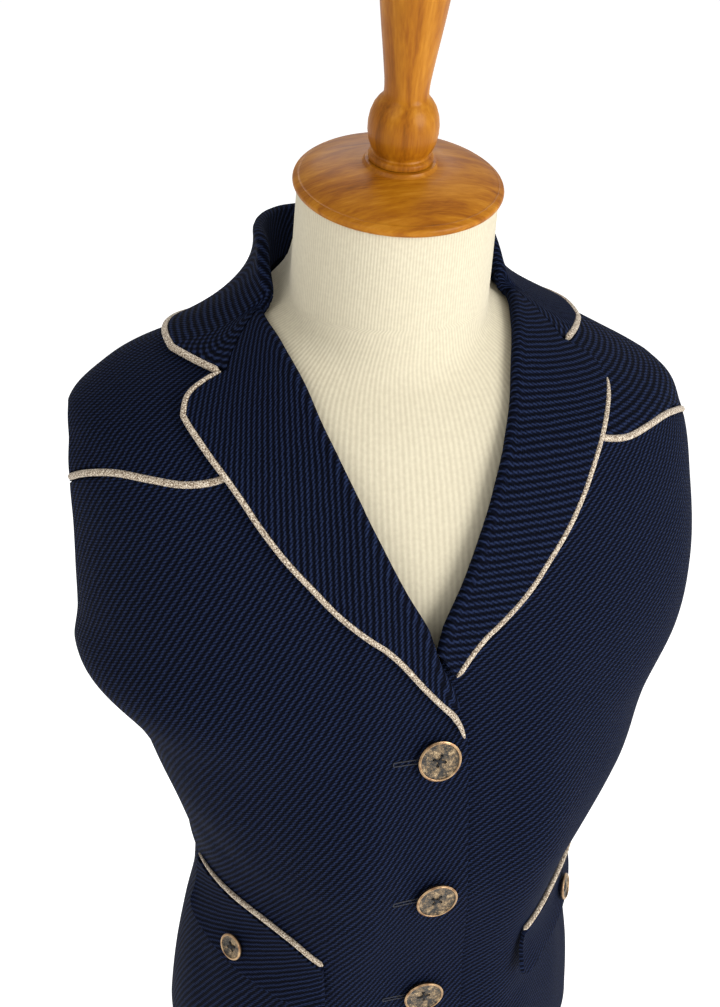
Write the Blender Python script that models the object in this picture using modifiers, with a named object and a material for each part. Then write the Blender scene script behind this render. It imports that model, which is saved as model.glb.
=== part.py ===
"""Western vest of heavy navy twill, buttoned on a limbless dress form.

Everything is worked out in millimetres from the high point of the shoulder, the way a
tailor measures: x to the wearer's left, y to the back, levels up from that point. The
vest is one skin, given by a table of sections. A place on it is a bearing (degrees round
the body from the front, positive to the wearer's left) and a level, which above
ARM_LEVEL is measured over the shoulder towards the neck. Each panel is cut from the skin
between its named edges and given its thickness.
"""

import math

import bmesh
import bpy
import numpy as np
from mathutils import Euler, Vector

MM = 0.001

# Driving sizes in mm
HEM = -505.0
FORM_BOTTOM = -620.0
POLE_LENGTH = 140.0
BASE_HEIGHT = 24.0
SEAT = 0.3
FLOOR_DROP = -FORM_BOTTOM + POLE_LENGTH + BASE_HEIGHT + 2 * SEAT

CLOTH = 2.2
DOUBLED = 2.6
SEAM_GAP = 0.3
ROOT_GAP = 1.5
PIPING = 2.0
FOLD = 2.2
LAP_RISE = 2.7
LAP_ACROSS = (-56.0, -32.0)
LEAF_LIFT = 5.1
NOTCH_CLEAR = 6.2

BUTTON_LEVELS = (-220.0, -313.0, -404.0)
BUTTON_RADIUS, BUTTON_THICK = 12.3, 3.7
FLAP_BUTTON_RADIUS, FLAP_BUTTON_THICK = 8.5, 3.0
BUTTON_SEAT = 0.8
HOLES_APART, FLAP_HOLES_APART, HOLE_RADIUS = 4.6, 3.8, 0.95

NECK_TOP, NECK_TOP_Y, NECK_RADIUS, NECK_FLARE = 71.0, -24.0, 52.0, 0.03
NECK_LEAN = math.radians(11.5)
CAP_RADIUS, CAP_UNDER, CAP_DOME = 54.5, -4.0, 12.0
NECK_BLEND = 8.0
NECK_TILTS, NECK_CENTRES = (2.0, 52.0), (-40.0, 20.0)
FORM_AROUND, NOT_HERE = 36, 1000.0

# The skin of the vest: half width, how far the front and the back lie from the middle
# plane, where the widest place is, how full the corners are, how far each front stands
# out below the bust, and how far the whole section leans to the wearer's left
COLUMNS = ("level", "side", "front", "back", "middle", "fullness", "stand", "lean")
VEST_SECTIONS = (
    (-560, 140, -126, 118, -10, 2.20, 5, -2),
    (-510, 137, -124, 110, -12, 2.15, 6, -2),
    (-461, 133, -120, 97, -14, 2.10, 8, -1),
    (-420, 126, -118, 87, -15, 2.05, 11, -1),
    (-383, 118, -121, 83, -15, 2.00, 14, -1),
    (-345, 121.5, -128, 87, -14, 2.05, 14, 3),
    (-312, 134, -133, 93, -13, 2.10, 12, 7),
    (-280, 145.5, -132, 99, -12, 2.20, 10, 8.5),
    (-235, 161, -128, 106, -10, 2.20, 6, 6.5),
    (-200, 183, -123, 109, -6, 2.20, 3, 3.5),
    (-165, 185, -118, 111, -2, 2.20, 1, 7),
    (-120, 184, -107, 109, 6, 2.15, 0, 7),
    (-80, 180, -94, 104, 14, 2.00, 0, 6),
    (-62, 172, -86, 100, 17, 1.95, 0, 5),
    (-53, 160, -81, 97, 18, 1.90, 0, 4),
    (-41, 140, -74, 93, 19, 1.90, 0, 3),
    (-24, 110, -63, 86, 20, 1.90, 0, 2),
    (-10, 85, -53, 80, 20, 1.95, 0, 1),
    (4, 62, -42, 72, 20, 2.00, 0, 0),
    (14, 52, -34, 68, 20, 2.00, 0, 0),
    (30, 46, -28, 66, 18, 2.00, 0, 0),
)
STAND_AT, STAND_HALF = 60.0, 28.0

# The wearer's right shoulder sits higher and fuller: where that starts and is whole,
# measured out from the middle and up from the origin
RIGHT_HIGHER, RIGHT_FULLER = 10.5, 1.5
RIGHT_OUT, RIGHT_UP = (85.0, 145.0), (-135.0, -75.0)

ARM_LEVEL, CORE_Y = -150.0, -5.0
OVER_SHOULDER = 150.0
OUT_OF_REACH, HALVINGS = 420.0, 34

# The dress form in the same columns, just inside the vest at the shoulders
FORM_SECTIONS = (
    (-620, 128, -106, 108, -12, 2.20, 0, 0),
    (-560, 133, -112, 112, -11, 2.20, 2, 0),
    (-510, 128, -109, 102, -12, 2.20, 3, 0),
    (-461, 121, -105, 90, -14, 2.15, 4, 0),
    (-420, 112, -102, 80, -15, 2.10, 5, -1),
    (-383, 106, -104, 76, -15, 2.05, 6, -1),
    (-345, 110, -112, 80, -14, 2.05, 7, 1),
    (-312, 123, -121, 86, -13, 2.10, 7, 4),
    (-280, 135, -122, 93, -12, 2.20, 7, 7),
    (-235, 149, -118, 100, -10, 2.20, 4, 6),
    (-200, 165, -113, 103, -6, 2.20, 2, 4),
    (-165, 173, -109, 105, -2, 2.20, 1, 7),
    (-120, 176, -101, 104, 6, 2.15, 0, 7),
    (-82, 174, -90, 100, 14, 2.00, 0, 6),
    (-64, 167, -83, 97, 17, 1.95, 0, 5),
    (-54.5, 157, -79, 95, 18, 1.90, 0, 4),
    (-42, 138.5, -72, 90, 19, 1.90, 0, 3),
    (-25, 109, -61, 83, 20, 1.90, 0, 2),
    (-11, 84, -51, 76, 20, 1.95, 0, 1),
    (3, 61, -40, 66, 20, 2.00, 0, 0),
    (13, 51, -32, 61, 20, 2.00, 0, 0),
    (29, 45, -26, 58, 18, 2.00, 0, 0),
)
FORM_LEVELS = (FORM_BOTTOM, -600, -560, -520, -480, -445, -415, -383, -350, -318, -286, -250,
               -215, -180, -145, -112, -88, -72, -60, -50, -41, -32, -23, -14, -6, 2, 12, 26,
               44, NECK_TOP + CAP_UNDER - SEAT)

# Edges of the pieces as (bearing, level), on the wearer's left; the right is mirrored
SIDE_BEARING = 98.0
UNDERARM = -214.0
HEM_STOPS = ((SIDE_BEARING, HEM), (SIDE_BEARING, UNDERARM))
FRONT_ARMHOLE = ((SIDE_BEARING, UNDERARM), (91, -203), (88.5, -185), (88, -140), (89, -99))
YOKE_ARMHOLE = ((89, -99), (92, -84), (97, -76), (104, -79), (113, -86))
BACK_ARMHOLE = ((SIDE_BEARING, UNDERARM), (110, -196), (118, -160), (119, -118), (113, -86))
BREAK = (-8.0, -211.0)
ROLL_LOWER = (BREAK, (-4, -191), (1, -166), (3.5, -149), (9.5, -120), (19.7, -72),
              (27.6, -43), (34, -27))
ROLL_UPPER = ((34, -27), (38, -18), (49, 0), (67, 13), (88, 17))
NECK_SIDE = ((88, 17), (100, 20), (112, 24), (124, 21), (135, 18))
NECK_BACK = ((180, 11), (165, 12), (150, 14), (135, 18))
SHOULDER_GAP = (0.4, 0.16)
SHOULDER_SEAM = ((135, 18), (126, -15), (118, -52), (113, -86))
YOKE_SEAM = ((34, -27), (45, -43), (57, -56), (60, -63), (65, -71), (71, -76), (77, -81),
             (83, -89), (89, -99))
LAPEL_COVERS, COVER_SOFT = 57.0, 3.0
SEAM_MM_PER_LEVEL = 1.2

# The overlap past the centre front widens towards the hem: level, reach in mm
OVERLAP = ((-211, 17.0), (-300, 19.0), (-404, 25.0), (HEM, 28.0))

# Lapel: its roll line and its outer edge, from the break up to the gorge
LAPEL_ROLL = ((-3.6, -188), (1, -166), (3.5, -149), (9.5, -120), (19.7, -72), (27.6, -43),
              (38, -18), (49, 0), (67, 13), (87.0, 17.0))
LAPEL_EDGE = ((-1.6, -186), (3, -175), (10, -158), (17.5, -144), (27, -124), (33, -109),
              (40, -93), (47.5, -76), (57, -58), (65.5, -49), (72.5, -42.5))
LAPEL_NOTCH = (75.2, -12.4)
LAPEL_TOP = (LAPEL_NOTCH, (76.2, -24), (75.6, -34), (72.5, -42.5))
LAPEL_TAIL = ((-4.6, -193), (-6.6, -201), (-7.6, -208))
HIDDEN_ROLL = (1.5, -161.5)
HIDDEN_EDGE = (4.6, -171.5)
GORGE = ((88, 17), (76, -12.5))
COLLAR_POINT = (93, -25)
COLLAR_EDGE = (COLLAR_POINT, (103, -26), (113, -25), (126, -23), (139, -20), (160, -12), (180, -6))
COLLAR_NECK = ((91, 17.8), (100, 20), (112, 24), (124, 21), (135, 18), (150, 14), (165, 12),
               (180, 11))
STAND_HEIGHT, STAND_LEAN = 24.0, math.radians(52)

# Shares of the way from the gorge to the centre back over which the stand grows and
# leans out and the fall comes free of the lapel's slope
STAND_RISES, STAND_LEANS, FALL_FREE = (0.08, 0.50), (0.08, 0.43), (0.0, 0.35)
FALL_PULL, A_LITTLE, FALL_EASE = 0.35, 0.05, 0.4

FLAP_SEAM = ((27.5, -366), (35, -357), (43, -352), (60, -347), (76, -345))
FLAP_DEPTH, FLAP_POINT, FLAP_CORNER, FLAP_SPRING = 40.0, 10.0, 8.0, 6.0
FLAP_WIDTH, FLAP_LIFT = 118.0, 4.7
FLAP_BUTTON = (49.0, 0.70)

# Grid steps
SIDE_ROWS, ARM_ROWS, FRONT_COLUMNS = 9, 9, 16
NECK_COLUMNS, SHOULDER_COLUMNS = 4, 8
YOKE_ARM_ROWS = 9
LAPEL_ROWS, GORGE_COLUMNS, TOP_COLUMNS, FOLD_STEPS = 20, 4, 3, 4
COLLAR_FRONT_STEPS, COLLAR_SIDE_STEPS, STAND_STEPS, FALL_STEPS = 4, 10, 2, 5
FLAP_COLUMNS, FLAP_ROWS = 12, 5

NAVY = (0.012, 0.020, 0.042)
OATMEAL = (0.62, 0.53, 0.44)
CREAM = (0.80, 0.76, 0.62)
HONEY = (0.33, 0.14, 0.035)
AGED_BRASS = (0.45, 0.31, 0.19)


# Small helpers

def smooth(value):
    value = np.clip(value, 0.0, 1.0)
    return value * value * (3 - 2 * value)


def ramp(value, ends):
    """Rises softly from 0 at the first end to 1 at the second."""
    return smooth((value - ends[0]) / (ends[1] - ends[0]))


def unit(vectors):
    return vectors / np.linalg.norm(vectors, axis=-1, keepdims=True)


def section(table, level):
    """The table's columns at each level, along a smooth curve through its rows."""
    rows = np.array(table, float)
    known, values = rows[:, 0], rows[:, 1:]
    level = np.clip(level, known[0], known[-1])
    low = np.clip(np.searchsorted(known, level) - 1, 0, len(known) - 2)
    gap = (known[low + 1] - known[low])[..., None]
    t = (level - known[low])[..., None] / gap
    slope = np.gradient(values, known, axis=0)
    mixed = ((2 * t**3 - 3 * t**2 + 1) * values[low] + (t**3 - 2 * t**2 + t) * gap * slope[low]
             + (3 * t**2 - 2 * t**3) * values[low + 1] + (t**3 - t**2) * gap * slope[low + 1])
    return {name: mixed[..., k] for k, name in enumerate(COLUMNS[1:])}


def reach(table, points):
    """Below 1 inside the sections and above 1 outside, growing evenly outwards."""
    right = ramp(-points[..., 0], RIGHT_OUT) * ramp(points[..., 2], RIGHT_UP)
    s = section(table, points[..., 2] - RIGHT_HIGHER * right)
    x = points[..., 0] + RIGHT_FULLER * right - s["lean"]
    y = points[..., 1] - s["middle"]
    front = s["front"] - s["stand"] * np.exp(-((np.abs(x) - STAND_AT) / STAND_HALF) ** 2)
    depth = np.where(y < 0, s["middle"] - front, s["back"] - s["middle"])
    power = s["fullness"]
    return ((np.abs(x) / s["side"]) ** power + (np.abs(y) / depth) ** power) ** (1 / power)


def first_outside(origin, heading, outside, far):
    """Where each ray leaves the shape, by halving."""
    near = np.zeros(heading.shape[:-1])
    away = np.full(heading.shape[:-1], far)
    for _ in range(HALVINGS):
        half = (near + away) / 2
        out = outside(origin + heading * half[..., None])
        away = np.where(out, half, away)
        near = np.where(out, near, half)
    return origin + heading * near[..., None]


def skin(bearing, level):
    """Points of the vest's inner face."""
    bearing, level = np.broadcast_arrays(np.radians(bearing), np.asarray(level, float))
    rise = np.maximum(level - ARM_LEVEL, 0) / OVER_SHOULDER
    origin = np.stack([0 * level, CORE_Y + 0 * level, np.minimum(level, ARM_LEVEL)], -1)
    heading = np.stack([np.sin(bearing) * np.cos(rise), -np.cos(bearing) * np.cos(rise),
                        np.sin(rise)], -1)
    return first_outside(origin, heading, lambda p: reach(VEST_SECTIONS, p) > 1, OUT_OF_REACH)


def skin_normal(bearing, level):
    step = 0.1
    around = skin(bearing + step, level) - skin(bearing - step, level)
    up = skin(bearing, level + step) - skin(bearing, level - step)
    return unit(np.cross(around, up))


def place_of(points):
    """The bearing and level of points in space."""
    x, y, z = points[..., 0], points[..., 1] - CORE_Y, points[..., 2]
    over = ARM_LEVEL + OVER_SHOULDER * np.arctan2(z - ARM_LEVEL, np.hypot(x, y))
    return np.stack([np.degrees(np.arctan2(x, -y)), np.where(z > ARM_LEVEL, over, z)], -1)


def curve_through(stops, steps):
    """Even steps along a smooth curve through the stops."""
    stops = np.asarray(stops, float)
    if len(stops) == 2:
        t = np.linspace(0, 1, steps + 1)[:, None]
        return stops[0] * (1 - t) + stops[1] * t
    scale = np.array([2.0, 1.0] + [1.0] * (stops.shape[1] - 2))
    run = np.concatenate([[0], np.cumsum(np.linalg.norm(np.diff(stops * scale, axis=0), axis=1))])
    slope = np.gradient(stops, run, axis=0)
    fine = np.linspace(0, run[-1], 40 * len(stops))
    low = np.clip(np.searchsorted(run, fine) - 1, 0, len(run) - 2)
    gap = (run[low + 1] - run[low])[:, None]
    t = (fine - run[low])[:, None] / gap
    path = ((2 * t**3 - 3 * t**2 + 1) * stops[low] + (t**3 - 2 * t**2 + t) * gap * slope[low]
            + (3 * t**2 - 2 * t**3) * stops[low + 1] + (t**3 - t**2) * gap * slope[low + 1])
    length = np.concatenate([[0], np.cumsum(np.linalg.norm(np.diff(path * scale, axis=0), axis=1))])
    even = np.linspace(0, length[-1], steps + 1)
    return np.stack([np.interp(even, length, path[:, k]) for k in range(path.shape[1])], 1)


def joined(*paths):
    """Paths end to end, without doubling the points where they meet."""
    return np.concatenate([paths[0]] + [path[1:] for path in paths[1:]])


def patch(bottom, top, left, right):
    """Places spread between four edges, as [row, column]."""
    u = np.linspace(0, 1, len(bottom))[None, :, None]
    v = np.linspace(0, 1, len(left))[:, None, None]
    across = bottom[None] * (1 - v) + top[None] * v
    along = left[:, None] * (1 - u) + right[:, None] * u
    corners = ((1 - u) * (1 - v) * bottom[0] + u * (1 - v) * bottom[-1]
               + (1 - u) * v * top[0] + u * v * top[-1])
    return across + along - corners


def mirrored(places, hand):
    return places * np.array([hand, 1.0])


def lap_rise(points, hand):
    """How far the right front rises over the left one at the centre."""
    if hand > 0:
        return np.zeros(points.shape[:-1])
    return LAP_RISE * ramp(points[..., 0], LAP_ACROSS)


def layer(places, hand, lift):
    """Points over one front: the skin, the lap's rise and the lift."""
    places = mirrored(np.asarray(places, float), hand)
    base = skin(places[..., 0], places[..., 1])
    normal = skin_normal(places[..., 0], places[..., 1])
    return base + normal * (lap_rise(base, hand) + lift)[..., None], normal


# Making objects

COLLECTION = bpy.data.collections.new("western_vest")
WORKBENCH = bpy.data.collections.new("cutters")


def material(name, colour, roughness, metallic=0.0):
    made = bpy.data.materials.get(name)
    if made:
        return made
    made = bpy.data.materials.new(name)
    made.use_nodes = True
    shader = made.node_tree.nodes["Principled BSDF"]
    shader.inputs["Base Color"].default_value = (*colour, 1.0)
    shader.inputs["Roughness"].default_value = roughness
    shader.inputs["Metallic"].default_value = metallic
    made.diffuse_color = (*colour, 1.0)
    return made


def twill():
    return material("navy_twill", NAVY, 0.85)


def to_scene(points):
    """From tailor's millimetres to metres above the floor."""
    return (np.asarray(points, float) + np.array([0, 0, FLOOR_DROP])) * MM


def add_object(name, data, look, collection=COLLECTION):
    made = bpy.data.objects.new(name, data)
    if look:
        data.materials.append(look)
    collection.objects.link(made)
    return made


def sheet(name, points, thickness, look):
    """A grid bent to the points [row, column], with its thickness on both sides."""
    rows, columns = points.shape[:2]
    made = bmesh.new()
    bmesh.ops.create_grid(made, x_segments=columns - 1, y_segments=rows - 1, size=1.0)
    where = to_scene(points)
    for vert in made.verts:
        column = round((vert.co.x + 1) / 2 * (columns - 1))
        row = round((vert.co.y + 1) / 2 * (rows - 1))
        vert.co = Vector(where[row, column])
    mesh = bpy.data.meshes.new(name)
    made.to_mesh(mesh)
    made.free()
    mesh.shade_smooth()
    made = add_object(name, mesh, look)
    wall = made.modifiers.new("thickness", "SOLIDIFY")
    wall.thickness = thickness * MM
    wall.offset = 0.0
    return made


def cord(name, points, radius, look, rounding=1):
    """A round piping along the points."""
    data = bpy.data.curves.new(name, "CURVE")
    data.dimensions = "3D"
    data.bevel_depth = radius * MM
    data.bevel_resolution = rounding
    data.use_fill_caps = True
    line = data.splines.new("POLY")
    line.points.add(len(points) - 1)
    for point, where in zip(line.points, to_scene(points)):
        point.co = (*where, 1.0)
    return add_object(name, data, look)


def turned(name, profile, steps, look, collection=COLLECTION):
    """A profile of (radius, height) pairs, top to bottom, turned about its axis."""
    mesh = bpy.data.meshes.new(name)
    made = bmesh.new()
    verts = [made.verts.new((radius * MM, 0.0, height * MM)) for radius, height in profile]
    for first, second in zip(verts, verts[1:]):
        made.edges.new((first, second))
    made.to_mesh(mesh)
    made.free()
    made = add_object(name, mesh, look, collection)
    spin = made.modifiers.new("turned", "SCREW")
    spin.steps = steps
    spin.render_steps = steps
    spin.use_merge_vertices = True
    spin.merge_threshold = 0.00001
    spin.use_smooth_shade = True
    return made


def rounded(centre_radius, centre_height, radius, start, end, steps):
    """Points of an arc in a profile; angles in degrees from straight out, up positive."""
    angles = [math.radians(start + (end - start) * k / steps) for k in range(steps + 1)]
    return [(centre_radius + radius * math.cos(a), centre_height + radius * math.sin(a))
            for a in angles]


# The dress form

def neck_axis(level):
    return NECK_TOP_Y + (NECK_TOP - level) * math.tan(NECK_LEAN)


def outside_form(points):
    """The torso and the neck, run together at the root of the neck."""
    s = section(FORM_SECTIONS, points[..., 2])
    scale = reach(FORM_SECTIONS, points)
    flat = np.hypot(points[..., 0] - s["lean"], points[..., 1] - s["middle"])
    torso = (scale - 1) * flat / np.maximum(scale, 0.05)
    radius = NECK_RADIUS + (NECK_TOP - points[..., 2]) * NECK_FLARE
    neck = np.hypot(points[..., 0], points[..., 1] - neck_axis(points[..., 2])) - radius
    neck = np.where(points[..., 2] < ARM_LEVEL, NOT_HERE, neck)
    torso = np.where(points[..., 2] > FORM_SECTIONS[-1][0], NOT_HERE, torso)
    share = np.clip(0.5 + 0.5 * (neck - torso) / NECK_BLEND, 0, 1)
    return neck * (1 - share) + torso * share - NECK_BLEND * share * (1 - share) > 0


def form_torso():
    """Rings from the flat bottom up to the neck's slanted top, joined and closed."""
    rings = []
    for level in FORM_LEVELS:
        tilt = NECK_LEAN * float(ramp(level, NECK_TILTS))
        turn = np.radians(np.arange(FORM_AROUND) * 360 / FORM_AROUND)
        middle = float(section(FORM_SECTIONS, np.array(float(level)))["middle"])
        centre_y = middle + (neck_axis(level) - middle) * float(ramp(level, NECK_CENTRES))
        centre_z = level
        if level > NECK_TILTS[0]:
            last = level == FORM_LEVELS[-1]
            centre_z = NECK_TOP + (CAP_UNDER - SEAT) * math.cos(NECK_LEAN) if last else level
            centre_y = neck_axis(centre_z)
        heading = np.stack([np.sin(turn), -np.cos(turn) * math.cos(tilt),
                            -np.cos(turn) * math.sin(tilt)], -1)
        origin = np.array([0.0, centre_y, centre_z]) + 0 * heading
        rings.append(first_outside(origin, heading, outside_form, OUT_OF_REACH))
    rings = np.array(rings)
    rings = np.concatenate([rings, rings[:, :1]], axis=1)
    rows, columns = rings.shape[:2]
    made = bmesh.new()
    bmesh.ops.create_grid(made, x_segments=columns - 1, y_segments=rows - 1, size=1.0)
    where = to_scene(rings)
    for vert in made.verts:
        column = round((vert.co.x + 1) / 2 * (columns - 1))
        row = round((vert.co.y + 1) / 2 * (rows - 1))
        vert.co = Vector(where[row, column])
    bmesh.ops.remove_doubles(made, verts=made.verts, dist=0.00001)
    open_edges = [edge for edge in made.edges if edge.is_boundary]
    bmesh.ops.holes_fill(made, edges=open_edges, sides=0)
    bmesh.ops.recalc_face_normals(made, faces=made.faces)
    mesh = bpy.data.meshes.new("form_torso")
    made.to_mesh(mesh)
    made.free()
    mesh.shade_smooth()
    mesh.set_sharp_from_angle(angle=math.radians(50))
    return add_object("form_torso", mesh, material("cream_jersey", CREAM, 0.9))


def stand_on_neck(made):
    made.location = Vector(to_scene((0.0, NECK_TOP_Y, NECK_TOP)))
    made.rotation_euler = Euler((NECK_LEAN, 0.0, 0.0))


def wooden_pieces():
    """Neck cap and finial on the slanted neck, and the pole and base below."""
    wood = material("honey_wood", HONEY, 0.35)
    cap = [(0.0, CAP_DOME), (15.0, CAP_DOME), (19.0, 9.8), (31.0, 8.0), (43.0, 5.0), (50.5, 2.2)]
    cap += rounded(CAP_RADIUS - 2.2, -1.4, 2.2, 75, -75, 5)
    cap += [(CAP_RADIUS - 4.0, CAP_UNDER), (0.0, CAP_UNDER)]
    stand_on_neck(turned("neck_cap", cap, 32, wood))
    foot = CAP_DOME + SEAT
    finial = [(0.0, 135.0), (8.0, 133.8), (14.0, 129.5), (17.4, 122.0), (18.2, 112.0), (17.2, 97.0),
              (14.8, 79.0), (12.4, 61.0), (11.2, 49.0), (11.4, 45.6), (14.2, 42.6), (17.0, 36.5),
              (18.0, 28.5), (17.0, 21.5), (14.6, 17.2), (14.6, 16.0), (16.5, 14.8), (16.5, foot),
              (0.0, foot)]
    stand_on_neck(turned("finial", finial, 18, wood))
    top = BASE_HEIGHT + SEAT + POLE_LENGTH
    pole = [(0.0, top), (34.0, top), (36.0, top - 2), (36.0, top - 8), (34.0, top - 10), (15.0, top - 14),
            (15.0, BASE_HEIGHT + 16), (24.0, BASE_HEIGHT + 10), (27.0, BASE_HEIGHT + SEAT + 3),
            (27.0, BASE_HEIGHT + SEAT), (0.0, BASE_HEIGHT + SEAT)]
    turned("pole", pole, 16, wood)
    base = [(0.0, BASE_HEIGHT), (60.0, BASE_HEIGHT - 1), (120.0, BASE_HEIGHT - 5)]
    base += rounded(151.0, 9.0, 9.0, 60, -60, 5)
    base += [(150.0, 0.0), (0.0, 0.0)]
    turned("base", base, 32, wood)


# The panels

def side_seam(rows):
    return curve_through(HEM_STOPS, rows)


def lap_bearing(level):
    """The bearing of the overlap's edge, beyond the centre front."""
    stops = np.array(OVERLAP[::-1], float)
    past = np.interp(level, stops[:, 0], stops[:, 1])
    bearing = np.zeros_like(level)
    for _ in range(8):
        depth = CORE_Y - skin(bearing, level)[..., 1]
        bearing = np.degrees(np.arctan2(past, depth))
    return -bearing


def edge_down_front(rows):
    level = np.linspace(HEM, BREAK[1], rows + 1)
    return np.stack([lap_bearing(level), level], 1)


def parted(path, move):
    """A seam's edge moved up or down, less where the lapel hides the seam."""
    shown = ramp(path[:, 0], (LAPEL_COVERS - COVER_SOFT, LAPEL_COVERS + COVER_SOFT))
    hidden = 1.5 * SEAM_GAP
    shift = hidden + (abs(move) - hidden) * shown
    moved = path.copy()
    moved[:, 1] += np.sign(move) * shift / SEAM_MM_PER_LEVEL
    return moved


def front_places():
    left = joined(edge_down_front(SIDE_ROWS), curve_through(ROLL_LOWER, ARM_ROWS))
    side = side_seam(SIDE_ROWS) - np.array([SEAM_GAP / 3, 0])
    right = joined(side, curve_through(FRONT_ARMHOLE, ARM_ROWS))
    top = parted(curve_through(YOKE_SEAM, FRONT_COLUMNS), -(PIPING + 4 * SEAM_GAP))
    left[-1], right[-1] = top[0], top[-1]
    bottom = curve_through((left[0], right[0]), FRONT_COLUMNS)
    return patch(bottom, top, left, right)


def shoulder_edge(steps, turn):
    """The shoulder seam's edge, moved forward (-1) or back (1) by half its gap."""
    seam = curve_through(SHOULDER_SEAM, steps)
    seam[:, 0] += turn * np.linspace(*SHOULDER_GAP, steps + 1)
    return seam


def yoke_places():
    bottom = parted(curve_through(YOKE_SEAM, FRONT_COLUMNS), PIPING + 4 * SEAM_GAP)
    arm = curve_through(YOKE_ARMHOLE, YOKE_ARM_ROWS)
    neck = curve_through(ROLL_UPPER[:-1] + NECK_SIDE, YOKE_ARM_ROWS)
    top = shoulder_edge(FRONT_COLUMNS, -1)
    neck[0], arm[0] = bottom[0], bottom[-1]
    neck[-1], arm[-1] = top[0], top[-1]
    return patch(bottom, top, neck, arm)


def back_places():
    side = side_seam(SIDE_ROWS) + np.array([SEAM_GAP / 3, 0])
    arm = joined(side, curve_through(BACK_ARMHOLE, ARM_ROWS))
    centre = 180.0 - SEAM_GAP / 4
    middle = curve_through(((centre, HEM), (centre, NECK_BACK[0][1])), SIDE_ROWS + ARM_ROWS)
    neck = curve_through(((centre, NECK_BACK[0][1]),) + NECK_BACK[1:], NECK_COLUMNS)
    seam = shoulder_edge(SHOULDER_COLUMNS, 1)
    neck[-1] = seam[0]
    top = joined(neck, seam)
    arm[-1] = top[-1]
    bottom = curve_through((middle[0], arm[0]), NECK_COLUMNS + SHOULDER_COLUMNS)
    return patch(bottom, top, middle, arm)


def panels(hand, side):
    """Front, yoke and back of one side."""
    for name, places in (("front", front_places()), ("yoke", yoke_places()), ("back", back_places())):
        points, _ = layer(places, hand, CLOTH / 2)
        sheet(f"{name}_{side}", points, CLOTH, twill())


def seam_piping(hand, side):
    """Piping caught between the front and the yoke, from the lapel to the armhole."""
    path = curve_through(YOKE_SEAM, FRONT_COLUMNS)
    shown = path[path[:, 0] > LAPEL_COVERS + COVER_SOFT + 1]
    points, _ = layer(shown, hand, PIPING)
    cord(f"piping_yoke_{side}", points, PIPING, material("oatmeal_piping", OATMEAL, 0.8))


# Lapels and collar

def fold_points(root, inward, outward, radius):
    """A half turn of cloth from the root, first inward, then out over itself."""
    turn = np.linspace(0, math.pi, FOLD_STEPS + 1)
    return [root + inward * radius * math.sin(a) + outward * radius * (1 - math.cos(a)) for a in turn]


def leaf_lift(share):
    """How far a turned-down leaf lies off the skin, from its fold to its edge."""
    at_fold = CLOTH / 2 + 2 * FOLD
    return float(at_fold + (LEAF_LIFT - at_fold) * smooth(share * 1.5))


def leaf_rows(places, hand):
    """Sections of a lapel: a half turn at the roll, then the leaf out to its edge."""
    roll = places[:, 0]
    base, normal = layer(roll, hand, CLOTH / 2)
    ahead, _ = layer(roll + (places[:, 1] - roll) * A_LITTLE, hand, CLOTH / 2)
    inward = -unit(ahead - base)
    columns = list(fold_points(base + inward * ROOT_GAP, inward, normal, FOLD))
    last = places.shape[1] - 1
    for k in range(1, last + 1):
        points, _ = layer(places[:, k], hand, leaf_lift(k / last))
        columns.append(points)
    return np.stack(columns, 1)


def lapel_places(roll_stops, edge_stops):
    """From the roll to the edge, closed at the top by the gorge and the notched corner."""
    roll = curve_through(roll_stops, LAPEL_ROWS)
    edge = curve_through(edge_stops, LAPEL_ROWS)
    top = joined(curve_through((roll[-1], LAPEL_NOTCH), GORGE_COLUMNS),
                 curve_through(LAPEL_TOP, TOP_COLUMNS))
    return patch(curve_through((roll[0], edge[0]), len(top) - 1), top, roll, edge)


def lapel(hand, side):
    roll_stops, edge_stops = LAPEL_ROLL, LAPEL_EDGE
    if hand > 0:
        roll_stops = (HIDDEN_ROLL,) + LAPEL_ROLL[2:]
        edge_stops = (HIDDEN_EDGE,) + LAPEL_EDGE[2:]
    points = leaf_rows(lapel_places(roll_stops, edge_stops), hand)
    sheet(f"lapel_{side}", points, DOUBLED, twill())
    rim = points[:, -1]
    if hand < 0:
        tail, _ = layer(np.array(LAPEL_TAIL), hand, LEAF_LIFT)
        rim = np.concatenate([tail[::-1], joined(rim, points[-1, :-TOP_COLUMNS - 2:-1])])
    path = shortened(beside(rim, hand, PIPING + SEAM_GAP), 0.0, NOTCH_CLEAR if hand < 0 else 0.0)
    cord(f"piping_lapel_{side}", path, PIPING, material("oatmeal_piping", OATMEAL, 0.8))


def beside(rim, turn, gap):
    """A path that keeps one gap outside an edge, square to it and along the cloth."""
    places = place_of(rim)
    normal = skin_normal(places[:, 0], places[:, 1])
    run = unit(np.diff(rim, axis=0))
    out = np.cross(run, (normal[1:] + normal[:-1]) / 2) * turn
    out = unit(out)
    first = np.concatenate([out[:1], out])
    second = np.concatenate([out, out[-1:]])
    way = unit(first + second)
    stretch = np.maximum((way * first).sum(-1), 0.6)
    return rim + way * (gap / stretch)[:, None]


def shortened(path, start, end):
    """The path with its ends cut back."""
    run = np.concatenate([[0], np.cumsum(np.linalg.norm(np.diff(path, axis=0), axis=1))])
    stops = [start] + [r for r in run if start + 1 < r < run[-1] - end - 1] + [run[-1] - end]
    return np.stack([np.interp(stops, run, path[:, k]) for k in range(3)], 1)


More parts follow.
